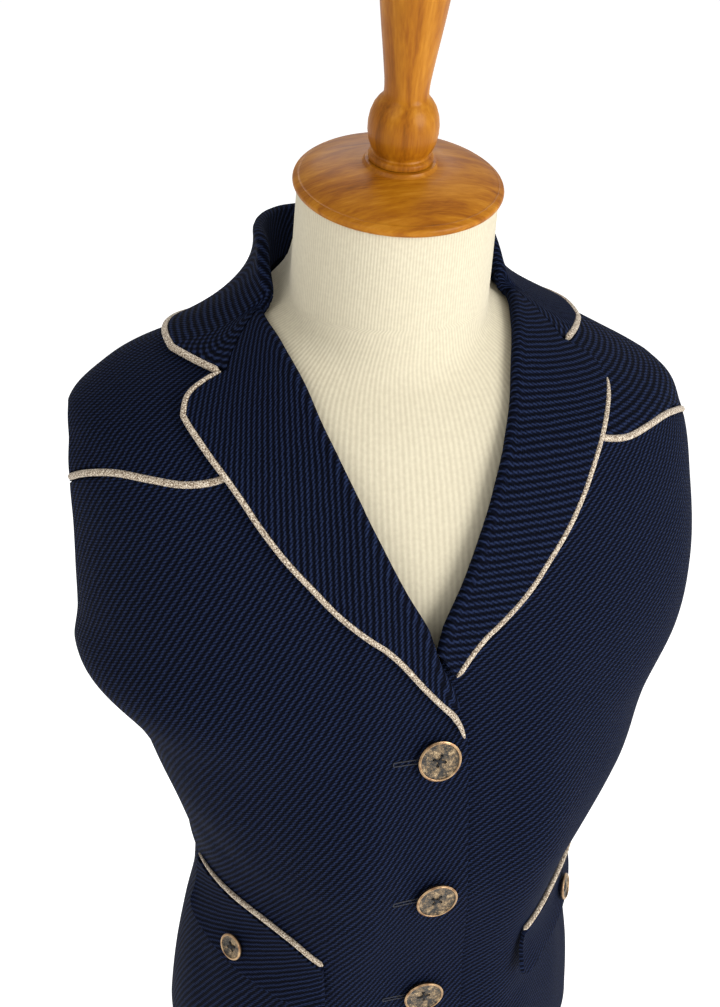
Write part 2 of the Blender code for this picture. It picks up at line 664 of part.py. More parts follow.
def collar_half(hand):
    """Sections of the collar from the gorge round to the centre back."""
    front_neck = curve_through((GORGE[0], COLLAR_NECK[0]), COLLAR_FRONT_STEPS)
    front_edge = curve_through((GORGE[1], COLLAR_POINT), COLLAR_FRONT_STEPS)
    neck = joined(front_neck, curve_through(COLLAR_NECK, COLLAR_SIDE_STEPS))
    edge = joined(front_edge, curve_through(COLLAR_EDGE, COLLAR_SIDE_STEPS))
    count = len(neck)
    round_neck = np.arange(count) / (count - 1)
    base, normal = layer(neck, hand, CLOTH / 2)
    ahead, _ = layer(neck + (edge - neck) * A_LITTLE, hand, CLOTH / 2)
    down = unit(ahead - base)
    height = STAND_HEIGHT * ramp(round_neck, STAND_RISES)
    angle = STAND_LEAN * ramp(round_neck, STAND_LEANS)
    upward = unit(-down * np.cos(angle)[:, None] + normal * np.sin(angle)[:, None])
    outward = unit(normal * np.cos(angle)[:, None] + down * np.sin(angle)[:, None])
    root = base - down * (ROOT_GAP + DOUBLED / 2 * np.sin(angle))[:, None]
    columns = [root + upward * (height * k / STAND_STEPS)[:, None] for k in range(STAND_STEPS)]
    columns += fold_points(root + upward * height[:, None], upward, outward, FOLD)
    start = columns[-1]
    finish, _ = layer(edge, hand, LEAF_LIFT)
    before, _ = layer(edge + (neck - edge) * A_LITTLE, hand, LEAF_LIFT)
    landing = unit(finish - before)
    span = np.linalg.norm(finish - start, axis=-1)[:, None]
    for k in range(1, FALL_STEPS + 1):
        t = k / FALL_STEPS
        bend_one = start - upward * span * FALL_PULL
        bend_two = finish - landing * span * FALL_PULL
        point = ((1 - t) ** 3 * start + 3 * t * (1 - t) ** 2 * bend_one
                 + 3 * t * t * (1 - t) * bend_two + t**3 * finish)
        flat, _ = layer(neck + (edge - neck) * t, hand, leaf_lift(t))
        free = ramp(round_neck, FALL_FREE)[:, None]
        columns.append(flat * (1 - free) + kept_clear(point, hand) * free)
    return np.stack(columns, 1)


def kept_clear(points, hand):
    """Points moved out where they would sink towards the panels below."""
    places = place_of(points)
    base = skin(places[..., 0], places[..., 1])
    normal = skin_normal(places[..., 0], places[..., 1])
    lift = ((points - base) * normal).sum(-1)
    wanted = LEAF_LIFT - FALL_EASE
    return points + normal * np.maximum(wanted - lift, 0)[..., None]


def collar():
    left, right = collar_half(1), collar_half(-1)
    points = np.concatenate([right, left[-2::-1]])
    sheet("collar", points, DOUBLED, twill())
    path = beside(points[:, -1], -1, PIPING + SEAM_GAP)
    path = shortened(path, NOTCH_CLEAR, NOTCH_CLEAR)
    cord("piping_collar", path, PIPING, material("oatmeal_piping", OATMEAL, 0.8))


# Pocket flaps

def flap_depth(share):
    """Deepest at the button, with small rounded corners."""
    depth = FLAP_DEPTH + FLAP_POINT * (1 - abs(2 * share - 1) ** 1.5)
    from_end = min(share, 1 - share) * FLAP_WIDTH
    if from_end < FLAP_CORNER:
        depth -= FLAP_CORNER - math.sqrt(FLAP_CORNER**2 - (FLAP_CORNER - from_end) ** 2)
    return depth


def flap_shares():
    """Columns of a flap, closer together at its rounded corners."""
    ends = (0.0, 0.012, 0.035, 0.07)
    inner = np.linspace(0.15, 0.85, FLAP_COLUMNS - 2 * len(ends) + 2)[1:-1]
    return np.concatenate([ends, [0.15], inner, [0.85], [1 - e for e in ends[::-1]]])


def flap_points(hand, shares, downs):
    seam = curve_through(FLAP_SEAM, 60)
    run = np.linspace(0, 1, len(seam))
    rows = []
    for down in downs:
        row = []
        for share in shares:
            bearing = np.interp(share, run, seam[:, 0])
            level = np.interp(share, run, seam[:, 1])
            drop = PIPING + 2 * SEAM_GAP + down * (flap_depth(share) - PIPING)
            row.append((bearing, level - drop))
        places = np.array(row)
        points, _ = layer(places, hand, FLAP_LIFT + FLAP_SPRING * down**1.5)
        rows.append(points)
    return np.array(rows)


def flap(hand, side):
    downs = np.linspace(0, 1, FLAP_ROWS + 1)
    sheet(f"flap_{side}", flap_points(hand, flap_shares(), downs), DOUBLED, twill())
    seam = curve_through(FLAP_SEAM, 14)
    points, _ = layer(seam, hand, CLOTH + 3 * SEAM_GAP + PIPING)
    cord(f"piping_flap_{side}", points, PIPING, material("oatmeal_piping", OATMEAL, 0.8))


# Buttons

def button(name, radius, thick, centre, normal, holes_apart):
    """A dished button with a raised rim and four holes, lying square to the cloth."""
    brass = material("aged_brass", AGED_BRASS, 0.35, 0.8)
    rim = radius - 1.1
    profile = [(0.0, thick - 1.2), (rim - 2.2, thick - 1.1), (rim - 0.5, thick - 0.7), (rim, thick - 0.1),
               (rim + 0.5, thick), (radius - 0.15, thick - 0.5), (radius, thick - 1.1),
               (radius - 1.0, 0.9), (radius - 3.5, 0.0), (0.0, 0.0)]
    made = turned(name, profile, 16, brass)
    cutter_mesh = bpy.data.meshes.new(name + "_holes")
    holes = bmesh.new()
    for x in (-1, 1):
        for y in (-1, 1):
            rod = bmesh.ops.create_cone(holes, cap_ends=True, segments=8, radius1=HOLE_RADIUS * MM,
                                        radius2=HOLE_RADIUS * MM, depth=12 * MM)
            move = Vector((x * holes_apart / 2 * MM, y * holes_apart / 2 * MM, 0))
            bmesh.ops.translate(holes, verts=rod["verts"], vec=move)
    holes.to_mesh(cutter_mesh)
    holes.free()
    cutter = add_object(name + "_holes", cutter_mesh, None, WORKBENCH)
    cutter.hide_render = True
    cutter.display_type = "WIRE"
    cutter.parent = made
    cut = made.modifiers.new("holes", "BOOLEAN")
    cut.object = cutter
    cut.operation = "DIFFERENCE"
    cut.solver = "EXACT"
    made.location = Vector(to_scene(centre))
    made.rotation_mode = "QUATERNION"
    made.rotation_quaternion = Vector(normal).to_track_quat("Z", "Y")
    return made


def buttons():
    for k, level in enumerate(BUTTON_LEVELS, 1):
        point, normal = layer(np.array([[0.0, level]]), -1, CLOTH + BUTTON_SEAT)
        button(f"button_front_{k}", BUTTON_RADIUS, BUTTON_THICK, point[0], normal[0],
               HOLES_APART)
    for hand, side in ((1, "left"), (-1, "right")):
        seam = np.array(FLAP_SEAM, float)
        share = np.interp(FLAP_BUTTON[0], seam[:, 0], np.linspace(0, 1, len(seam)))
        here = flap_points(hand, (share - 0.03, share + 0.03), (FLAP_BUTTON[1] - 0.1, FLAP_BUTTON[1] + 0.1))
        across = here[0, 1] - here[0, 0]
        downward = here[1, 0] - here[0, 0]
        normal = unit(np.cross(downward, across)) * hand
        centre = here.mean(axis=(0, 1)) + normal * (DOUBLED / 2 + BUTTON_SEAT)
        button(f"button_flap_{side}", FLAP_BUTTON_RADIUS, FLAP_BUTTON_THICK, centre, normal,
               FLAP_HOLES_APART)


def main():
    for old in list(bpy.data.objects):
        bpy.data.objects.remove(old, do_unlink=True)
    bpy.context.scene.collection.children.link(COLLECTION)
    bpy.context.scene.collection.children.link(WORKBENCH)
    form_torso()
    wooden_pieces()
    for hand, side in ((1, "left"), (-1, "right")):
        panels(hand, side)
        seam_piping(hand, side)
        lapel(hand, side)
        flap(hand, side)
    collar()
    buttons()


if __name__ == "__main__":
    main()
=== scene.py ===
"""Looks of a western vest of heavy navy twill, buttoned on a limbless dress form.

The cloth is worked out as the pattern cutter's skin: a place on it is a bearing (degrees
round the body from the front, positive to the wearer's left) and a level in millimetres
below the high point of the shoulder, which above the underarm runs over the shoulder
towards the neck. Each shell carries its grain as a map in millimetres, across the ribs
of the twill and along them.
"""

import math

import bmesh
import bpy
import numpy as np
from mathutils import Matrix, Vector


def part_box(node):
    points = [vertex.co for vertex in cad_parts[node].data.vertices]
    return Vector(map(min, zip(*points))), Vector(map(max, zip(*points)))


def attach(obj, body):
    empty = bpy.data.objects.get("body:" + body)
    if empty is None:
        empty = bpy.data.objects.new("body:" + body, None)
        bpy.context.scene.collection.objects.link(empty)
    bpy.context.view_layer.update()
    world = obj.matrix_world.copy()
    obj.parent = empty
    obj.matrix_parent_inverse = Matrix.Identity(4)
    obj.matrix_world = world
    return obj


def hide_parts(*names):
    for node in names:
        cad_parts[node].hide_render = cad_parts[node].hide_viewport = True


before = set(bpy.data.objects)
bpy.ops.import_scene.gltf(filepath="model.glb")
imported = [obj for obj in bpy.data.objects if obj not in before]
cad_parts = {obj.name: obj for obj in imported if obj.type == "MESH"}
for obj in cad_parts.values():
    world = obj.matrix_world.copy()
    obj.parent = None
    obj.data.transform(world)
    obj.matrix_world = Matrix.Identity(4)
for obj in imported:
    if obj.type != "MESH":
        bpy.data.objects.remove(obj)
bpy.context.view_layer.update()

bl_info = {
    "name": "Western vest on a dress form",
    "version": (1, 0, 0),
    "blender": (4, 5, 0),
    "location": "View3D > Sidebar > Vest",
    "description": "Cloth, piping, buttons, dress form and studio of a twill vest",
    "category": "Object",
}

MM = 0.001
BODY = "root"

# Sizes of the pattern in mm
HEM = -505.0
FORM_BOTTOM = -620.0
FLOOR_DROP = -FORM_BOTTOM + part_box("pole")[1].z / MM + 0.3
CLOTH, DOUBLED = 2.2, 2.6
SEAM_GAP = 0.3
ROOT_GAP = 1.5
PIPING, LAPEL_PIPING, FLAP_PIPING = 2.0, 1.75, 1.6
FOLD = 2.2
LAP_RISE = 2.7
LAP_ACROSS = (-56.0, -32.0)
LEAF_LIFT = 5.1
NOTCH_CLEAR = 6.2
BUTTON_LEVELS = (-220.0, -313.0, -404.0)
BUTTON_RADIUS, BUTTON_THICK = 12.3, 3.7
FLAP_BUTTON_RADIUS, FLAP_BUTTON_THICK = 8.5, 3.0
BUTTON_SEAT = 0.8
NECK_TOP, NECK_TOP_Y, NECK_RADIUS, NECK_FLARE = 71.0, -24.0, 52.0, 0.03
NECK_LEAN = math.radians(11.5)
CAP_RADIUS, CAP_UNDER, CAP_DOME = 54.5, -4.0, 12.0
NECK_BLEND = 8.0
NECK_TILTS, NECK_CENTRES, NECK_SETTLES = (2.0, 52.0), (-40.0, 20.0), (44.0, 66.0)
HOLES_APART, FLAP_HOLES_APART, HOLE_RADIUS = 4.6, 3.8, 0.95
FACE_SUNK = 1.25
THREAD, STRANDS_APART, STITCH_RISE, STITCH_DIP = 0.26, 0.49, 0.62, 0.9
SLIT_START, SLIT_END, SLIT_HALF, SLIT_THREAD = 2.0, 25.0, 1.15, 0.42
BUTTON_TURNS, FLAP_BUTTON_TURN = (24, 8, 52), 15

# How finely the pieces are drawn: steps along their edges, and mm along a piping
FRONT_STEPS, YOKE_STEPS, BACK_STEPS = (110, 90, 90), (60, 90), (90, 84, 20, 50)
LAPEL_STEPS, COLLAR_STEPS, FOLD_STEPS = (90, 14, 10), (16, 64, 10, 22), 8
PIPING_STEP, BUTTON_STEPS, WOOD_STEPS, FORM_STEPS = 1.6, 72, 96, 108

# The skin of the vest and, in the same columns, the dress form inside it
COLUMNS = ("level", "side", "front", "back", "middle", "fullness", "stand", "lean")
VEST_SECTIONS = (
    (-560, 140, -126, 118, -10, 2.20, 5, -2),
    (-510, 137, -124, 110, -12, 2.15, 6, -2),
    (-461, 133, -120, 97, -14, 2.10, 8, -1),
    (-420, 126, -118, 87, -15, 2.05, 11, -1),
    (-383, 118, -121, 83, -15, 2.00, 14, -1),
    (-345, 121.5, -128, 87, -14, 2.05, 14, 3),
    (-312, 134, -133, 93, -13, 2.10, 12, 7),
    (-280, 145.5, -132, 99, -12, 2.20, 10, 8.5),
    (-235, 161, -128, 106, -10, 2.20, 6, 6.5),
    (-200, 183, -123, 109, -6, 2.20, 3, 3.5),
    (-165, 185, -118, 111, -2, 2.20, 1, 7),
    (-120, 184, -107, 109, 6, 2.15, 0, 7),
    (-80, 180, -94, 104, 14, 2.00, 0, 6),
    (-62, 172, -86, 100, 17, 1.95, 0, 5),
    (-53, 160, -81, 97, 18, 1.90, 0, 4),
    (-41, 140, -74, 93, 19, 1.90, 0, 3),
    (-24, 110, -63, 86, 20, 1.90, 0, 2),
    (-10, 85, -53, 80, 20, 1.95, 0, 1),
    (4, 62, -42, 72, 20, 2.00, 0, 0),
    (14, 52, -34, 68, 20, 2.00, 0, 0),
    (30, 46, -28, 66, 18, 2.00, 0, 0),
)
FORM_SECTIONS = (
    (-620, 128, -106, 108, -12, 2.20, 0, 0),
    (-560, 133, -112, 112, -11, 2.20, 2, 0),
    (-510, 128, -109, 102, -12, 2.20, 3, 0),
    (-461, 121, -105, 90, -14, 2.15, 4, 0),
    (-420, 112, -102, 80, -15, 2.10, 5, -1),
    (-383, 106, -104, 76, -15, 2.05, 6, -1),
    (-345, 110, -112, 80, -14, 2.05, 7, 1),
    (-312, 123, -121, 86, -13, 2.10, 7, 4),
    (-280, 135, -122, 93, -12, 2.20, 7, 7),
    (-235, 149, -118, 100, -10, 2.20, 4, 6),
    (-200, 165, -113, 103, -6, 2.20, 2, 4),
    (-165, 173, -109, 105, -2, 2.20, 1, 7),
    (-120, 176, -101, 104, 6, 2.15, 0, 7),
    (-82, 174, -90, 100, 14, 2.00, 0, 6),
    (-64, 167, -83, 97, 17, 1.95, 0, 5),
    (-54.5, 157, -79, 95, 18, 1.90, 0, 4),
    (-42, 138.5, -72, 90, 19, 1.90, 0, 3),
    (-25, 109, -61, 83, 20, 1.90, 0, 2),
    (-11, 84, -51, 76, 20, 1.95, 0, 1),
    (3, 61, -40, 66, 20, 2.00, 0, 0),
    (13, 51, -32, 61, 20, 2.00, 0, 0),
    (29, 45, -26, 58, 18, 2.00, 0, 0),
)
FORM_LEVELS = (FORM_BOTTOM, -600, -560, -520, -480, -445, -415, -383, -350, -318, -286, -250,
               -215, -180, -145, -112, -88, -72, -60, -50, -41, -32, -23, -14, -6, 2, 12, 26,
               44, NECK_TOP + CAP_UNDER - SEAM_GAP)

# Turned wood as (radius, height): the cap and finial from the neck's top, the pole's head
# from its own top, and the pole's foot and the base from the base's top
CAP_PROFILE = ((0.0, CAP_DOME), (15.0, CAP_DOME), (18.2, CAP_DOME - 0.3), (19.0, 9.9), (19.6, 9.6),
               (25.0, 9.3), (31.0, 8.2), (37.0, 7.0), (43.0, 5.3), (47.5, 3.6), (50.5, 2.0),
               (51.2, 1.5), (51.9, 1.55))
FINIAL_FOOT = CAP_DOME + SEAM_GAP
FINIAL_PROFILE = (
    (0.0, 135.0), (4.5, 134.6), (8.4, 133.2), (12.0, 131.0), (14.8, 127.8), (17.0, 122.5),
    (18.0, 117.0), (18.2, 111.0), (17.9, 104.0), (17.2, 97.0), (16.1, 88.0), (14.9, 79.0),
    (13.6, 70.0), (12.4, 61.0), (11.5, 54.0), (11.2, 49.5), (11.3, 46.4), (12.4, 44.8),
    (14.0, 43.0), (15.8, 40.2), (17.3, 36.0), (18.0, 31.5), (18.0, 27.0), (17.2, 22.4),
    (15.9, 18.9), (14.7, 17.3), (14.5, 16.5), (14.9, 15.7), (16.3, 15.1), (16.7, 14.4),
    (16.5, FINIAL_FOOT), (0.0, FINIAL_FOOT))
POLE_HEAD = ((0.0, 0.0), (33.0, 0.0), (35.2, -0.8), (36.0, -2.5), (36.0, -7.5), (34.5, -9.6),
             (22.0, -11.6), (16.2, -14.0), (15.0, -18.0))
POLE_FOOT = ((15.0, 18.0), (16.5, 14.5), (22.0, 11.5), (24.5, 9.5), (26.6, 5.0), (27.0, 2.0),
             (27.0, SEAM_GAP), (0.0, SEAM_GAP))
BASE_TOP = ((0.0, 0.0), (60.0, -1.0), (100.0, -3.2), (120.0, -5.0), (140.0, -6.6))

# The rays that find the skin
STAND_AT, STAND_HALF = 60.0, 28.0
ARM_LEVEL, CORE_Y = -150.0, -5.0
OVER_SHOULDER = 150.0
OUT_OF_REACH, HALVINGS, NOT_HERE = 420.0, 30, 1000.0
RIGHT_HIGHER, RIGHT_FULLER = 10.5, 1.5
RIGHT_OUT, RIGHT_UP = (85.0, 145.0), (-135.0, -75.0)

# Edges of the pieces as (bearing, level), on the wearer's left; the right is mirrored
SIDE_BEARING = 98.0
UNDERARM = -214.0
HEM_STOPS = ((SIDE_BEARING, HEM), (SIDE_BEARING, UNDERARM))
FRONT_ARMHOLE = ((SIDE_BEARING, UNDERARM), (91, -203), (88.5, -185), (88, -140), (89, -99))
YOKE_ARMHOLE = ((89, -99), (92, -84), (97, -76), (104, -79), (113, -86))
BACK_ARMHOLE = ((SIDE_BEARING, UNDERARM), (110, -196), (118, -160), (119, -118), (113, -86))
BREAK = (-8.0, -211.0)
ROLL_LOWER = (BREAK, (-4, -191), (1, -166), (3.5, -149), (9.5, -120), (19.7, -72),
              (27.6, -43), (34, -27))
ROLL_UPPER = ((34, -27), (38, -18), (49, 0), (67, 13), (88, 17))
NECK_SIDE = ((88, 17), (100, 20), (112, 24), (124, 21), (135, 18))
NECK_BACK = ((180, 11), (165, 12), (150, 14), (135, 18))
SHOULDER_GAP = (0.4, 0.16)
SHOULDER_SEAM = ((135, 18), (126, -15), (118, -52), (113, -86))
YOKE_SEAM = ((34, -27), (45, -43), (57, -56), (60, -63), (65, -71), (71, -76), (77, -81),
             (83, -89), (89, -99))
LAPEL_COVERS, COVER_SOFT = 57.0, 3.0
SEAM_MM_PER_LEVEL = 1.2
OVERLAP = ((-211, 17.0), (-300, 19.0), (-404, 25.0), (HEM, 28.0))

LAPEL_ROLL = ((-3.6, -188), (1, -166), (3.5, -149), (9.5, -120), (19.7, -72), (27.6, -43),
              (38, -18), (49, 0), (67, 13), (87.0, 17.0))
LAPEL_EDGE = ((-1.6, -186), (3, -175), (10, -158), (17.5, -144), (27, -124), (33, -109),
              (40, -93), (47.5, -76), (57, -58), (65.5, -49), (72.5, -42.5))
LAPEL_NOTCH = (75.2, -12.4)
LAPEL_TOP = (LAPEL_NOTCH, (76.2, -24), (75.6, -34), (72.5, -42.5))
LAPEL_TAIL = ((-4.6, -193), (-6.6, -201), (-7.6, -208))
HIDDEN_ROLL = (1.5, -161.5)
HIDDEN_EDGE = (4.6, -171.5)
GORGE = ((87.7, 17), (75.6, -12.5))
COLLAR_POINT = (93, -25)
COLLAR_EDGE = (COLLAR_POINT, (103, -26), (113, -25), (126, -23), (139, -20), (160, -12), (180, -6))
COLLAR_NECK = ((91, 17.8), (100, 20), (112, 24), (124, 21), (135, 18), (150, 14), (165, 12),
               (180, 11))
STAND_HEIGHT, STAND_LEAN = 24.0, math.radians(52)
FRONT_SHARE = 4 / 14
STAND_RISES, STAND_LEANS, FALL_FREE = (0.08, 0.50), (0.08, 0.43), (0.0, 0.35)
FALL_PULL, A_LITTLE, FALL_EASE = 0.35, 0.05, 0.4

FLAP_SEAM = ((27.5, -366), (35, -357), (43, -352), (60, -347), (76, -345))
FLAP_DEPTH, FLAP_POINT, FLAP_CORNER, FLAP_SPRING = 40.0, 10.0, 8.0, 6.0
FLAP_WIDTH, FLAP_LIFT = 118.0, 4.7
FLAP_BUTTON = (49.0, 0.70)

# How the ribs of the twill lie on each piece: their rise to the wearer's left in degrees on
# the cloth laid flat, and how many times coarser than the fronts they read there
GRAIN = {
    "front_right": (56.0, 1.12), "front_left": (36.0, 1.15),
    "yoke_right": (58.0, 1.05), "yoke_left": (5.0, 1.6),
    "back_right": (-40.0, 1.0), "back_left": (-40.0, 1.0),
    "lapel_right": (89.0, 1.15), "lapel_left": (-2.0, 1.42),
    "flap_right": (36.0, 1.05), "flap_left": (30.0, 1.05),
    "collar": (-40.0, 1.1),
}

# Soft folds: from and to as (bearing, level), half width and depth in mm; a negative
# depth stands out
FOLD_COLUMNS = ("side", "from", "to", "half_width", "depth")
FOLDS = (
    ("right", (-96, -352), (-66, -372), 7.0, 2.4),
    ("right", (-97, -336), (-72, -350), 8.0, -1.6),
    ("right", (-92, -228), (-70, -262), 11.0, 1.4),
    ("right", (-64, -300), (-34, -344), 13.0, 1.1),
    ("right", (-26, -224), (-10, -216), 8.0, 0.8),
    ("right", (-40, -330), (-8, -316), 11.0, 0.9),
    ("right", (-70, -420), (-60, -500), 16.0, 1.3),
    ("left", (96, -350), (70, -366), 7.0, 2.0),
    ("left", (97, -338), (76, -352), 8.0, -1.4),
    ("left", (93, -232), (66, -258), 12.0, 1.5),
    ("left", (60, -296), (36, -338), 12.0, 1.0),
    ("left", (44, -324), (18, -312), 10.0, 0.8),
    ("left", (66, -420), (58, -500), 15.0, 1.3),
    ("left", (30, -430), (27, -500), 12.0, 0.9),
    ("right", (-172, -372), (-120, -384), 9.0, 1.6),
    ("right", (-168, -352), (-128, -358), 8.0, 1.1),
    ("right", (-112, -232), (-134, -262), 12.0, 1.4),
    ("right", (-150, -430), (-144, -500), 16.0, 1.2),
    ("left", (170, -376), (124, -368), 9.0, 1.5),
    ("left", (164, -350), (130, -362), 9.0, 1.2),
    ("left", (113, -236), (138, -258), 12.0, 1.3),
    ("left", (148, -424), (152, -500), 16.0, 1.2),
)
MM_PER_DEGREE = 2.4

# Camera, in mm from the high point of the shoulder, worked out from the photograph
CAMERA_AT = (-207.0361, -725.7679, 279.8034)
CAMERA_YAW, CAMERA_PITCH, CAMERA_ROLL = -0.2636, 0.4983, -0.0167
FOCAL_PIXELS, PICTURE_HEIGHT = 1450.0188, 1007
SENSOR = 24.0

# The soft lights: name, place, what it points at, size (all in metres) and its power setting
LIGHTS = (
    ("key_light", (1.35, -1.7, 1.25), (0.0, -0.05, 0.6), 1.4, "key_power"),
    ("fill_light", (-1.5, -1.1, 2.0), (0.0, -0.05, 0.6), 1.4, "fill_power"),
    ("rim_light", (0.4, 1.6, 2.0), (0.0, 0.0, 0.6), 1.2, "fill_power"),
)
FLOOR_SIZE = 12.0


# Settings that a user would change

class VestCloth(bpy.types.PropertyGroup):
    rib_pitch: bpy.props.FloatProperty(
        name="Rib pitch", description="Distance between two ribs of the twill, in mm",
        default=2.8, min=0.5, max=10.0)
    # Groove and rib colours are the same navy yarn: the groove colour is painted shade and the rib
    # colour is a painted highlight
    groove: bpy.props.StringProperty(
        name="Groove colour", description="Navy in the grooves, sRGB hex", default="020309")
    ribs: bpy.props.StringProperty(
        name="Rib colour", description="Navy on top of the ribs, sRGB hex", default="212c4a")
    fold_strength: bpy.props.FloatProperty(
        name="Fold strength", description="How deep the soft folds are", default=1.0,
        min=0.0, max=2.0, subtype="FACTOR")


class VestTrim(bpy.types.PropertyGroup):
    piping: bpy.props.StringProperty(
        name="Piping colour", description="Oatmeal yarn, sRGB hex", default="b5a48d")
    fleck: bpy.props.StringProperty(
        name="Fleck colour", description="Dark flecks in the piping, sRGB hex", default="54402f")
    rim: bpy.props.StringProperty(
        name="Button rim", description="Rubbed copper gold, sRGB hex", default="b99b76")
    face: bpy.props.StringProperty(
        name="Button face", description="Mottled horn brown, sRGB hex", default="4a4338")
    thread: bpy.props.StringProperty(
        name="Thread", description="Dark sewing thread, sRGB hex", default="07080d")


class VestForm(bpy.types.PropertyGroup):
    jersey: bpy.props.StringProperty(
        name="Jersey colour", description="Cream jersey, sRGB hex", default="d5ccb2")
    rib_count: bpy.props.IntProperty(
        name="Jersey ribs", description="Fine ribs round the form", default=200, min=20, max=600)
    wood: bpy.props.StringProperty(
        name="Wood colour", description="Honey varnish on wood, sRGB hex", default="a86911")
    grain: bpy.props.StringProperty(
        name="Grain colour", description="Dark grain of the wood, sRGB hex", default="754208")


class VestStudio(bpy.types.PropertyGroup):
    floor: bpy.props.StringProperty(
        name="Floor colour", description="Pale floor, sRGB hex", default="fbfbfb")
    key_power: bpy.props.FloatProperty(
        name="Key light", description="Power of the large soft light", default=38.0, unit="POWER")
    fill_power: bpy.props.FloatProperty(
        name="Fill light", description="Power of the light from the other side", default=7.0,
        unit="POWER")
    daylight: bpy.props.FloatProperty(
        name="Daylight", description="Strength of the even white surroundings", default=0.6,
        min=0.0, max=5.0)


# Numbers and curves

def smooth(value):
    """Goes from 0 to 1 with level ends."""
    value = np.clip(value, 0.0, 1.0)
    return value * value * (3 - 2 * value)


def ramp(value, ends):
    """Rises softly from 0 at the first end to 1 at the second."""
    return smooth((value - ends[0]) / (ends[1] - ends[0]))


def unit(vectors):
    """The vectors at length 1."""
    return vectors / np.linalg.norm(vectors, axis=-1, keepdims=True)


def between(known, values, at):
    """The values at each place, along a smooth curve through the known rows."""
    low = np.clip(np.searchsorted(known, at) - 1, 0, len(known) - 2)
    gap = (known[low + 1] - known[low])[..., None]
    t = (at - known[low])[..., None] / gap
    slope = np.gradient(values, known, axis=0)
    return ((2 * t**3 - 3 * t**2 + 1) * values[low] + (t**3 - 2 * t**2 + t) * gap * slope[low]
            + (3 * t**2 - 2 * t**3) * values[low + 1] + (t**3 - t**2) * gap * slope[low + 1])


def section(table, level):
    """The table's columns at each level."""
    rows = np.array(table, float)
    level = np.clip(level, rows[0, 0], rows[-1, 0])
    mixed = between(rows[:, 0], rows[:, 1:], level)
    return {name: mixed[..., k] for k, name in enumerate(COLUMNS[1:])}


def reach(table, points):
    """Below 1 inside the sections and above 1 outside, growing evenly outwards."""
    right = ramp(-points[..., 0], RIGHT_OUT) * ramp(points[..., 2], RIGHT_UP)
    s = section(table, points[..., 2] - RIGHT_HIGHER * right)
    x = points[..., 0] + RIGHT_FULLER * right - s["lean"]
    y = points[..., 1] - s["middle"]
    front = s["front"] - s["stand"] * np.exp(-((np.abs(x) - STAND_AT) / STAND_HALF) ** 2)
    depth = np.where(y < 0, s["middle"] - front, s["back"] - s["middle"])
    power = s["fullness"]
    return ((np.abs(x) / s["side"]) ** power + (np.abs(y) / depth) ** power) ** (1 / power)


def first_outside(origin, heading, outside):
    """Where each ray leaves the shape, by halving."""
    near = np.zeros(heading.shape[:-1])
    away = np.full(heading.shape[:-1], OUT_OF_REACH)
    for _ in range(HALVINGS):
        half = (near + away) / 2
        out = outside(origin + heading * half[..., None])
        away = np.where(out, half, away)
        near = np.where(out, near, half)
    return origin + heading * near[..., None]


def skin(bearing, level):
    """Points of the vest's inner face."""
    bearing, level = np.broadcast_arrays(np.radians(bearing), np.asarray(level, float))
    rise = np.maximum(level - ARM_LEVEL, 0) / OVER_SHOULDER
    origin = np.stack([0 * level, CORE_Y + 0 * level, np.minimum(level, ARM_LEVEL)], -1)
    heading = np.stack([np.sin(bearing) * np.cos(rise), -np.cos(bearing) * np.cos(rise),
                        np.sin(rise)], -1)
    return first_outside(origin, heading, lambda p: reach(VEST_SECTIONS, p) > 1)


def skin_normal(bearing, level):
    """Directions straight out of the skin."""
    step = 0.1
    around = skin(bearing + step, level) - skin(bearing - step, level)
    up = skin(bearing, level + step) - skin(bearing, level - step)
    return unit(np.cross(around, up))


def place_of(points):
    """The bearing and level of points in space."""
    x, y, z = points[..., 0], points[..., 1] - CORE_Y, points[..., 2]
    over = ARM_LEVEL + OVER_SHOULDER * np.arctan2(z - ARM_LEVEL, np.hypot(x, y))
    return np.stack([np.degrees(np.arctan2(x, -y)), np.where(z > ARM_LEVEL, over, z)], -1)


def run_along(points, axis=0):
    """The length along a path or a grid's rows or columns, at each of its points."""
    gaps = np.linalg.norm(np.diff(points, axis=axis), axis=-1)
    return np.insert(np.cumsum(gaps, axis=axis), 0, 0.0, axis=axis)


def at_lengths(stops, run, path):
    """Points of a path at the given lengths along it."""
    return np.stack([np.interp(stops, run, path[:, k]) for k in range(path.shape[1])], 1)


def curve_through(stops, steps):
    """Even steps along a smooth curve through the stops."""
    stops = np.asarray(stops, float)
    if len(stops) == 2:
        t = np.linspace(0, 1, steps + 1)[:, None]
        return stops[0] * (1 - t) + stops[1] * t
    scale = np.array([2.0, 1.0] + [1.0] * (stops.shape[1] - 2))
    run = run_along(stops * scale)
    path = between(run, stops, np.linspace(0, run[-1], 40 * len(stops)))
    length = run_along(path * scale)
    return at_lengths(np.linspace(0, length[-1], steps + 1), length, path)


def joined(*paths):
    """Paths end to end, without doubling the points where they meet."""
    return np.concatenate([paths[0]] + [path[1:] for path in paths[1:]])


def patch(bottom, top, left, right):
    """Places spread between four edges, as [row, column]."""
    u = np.linspace(0, 1, len(bottom))[None, :, None]
    v = np.linspace(0, 1, len(left))[:, None, None]
    across = bottom[None] * (1 - v) + top[None] * v
    along = left[:, None] * (1 - u) + right[:, None] * u
    corners = ((1 - u) * (1 - v) * bottom[0] + u * (1 - v) * bottom[-1]
               + (1 - u) * v * top[0] + u * v * top[-1])
    return across + along - corners


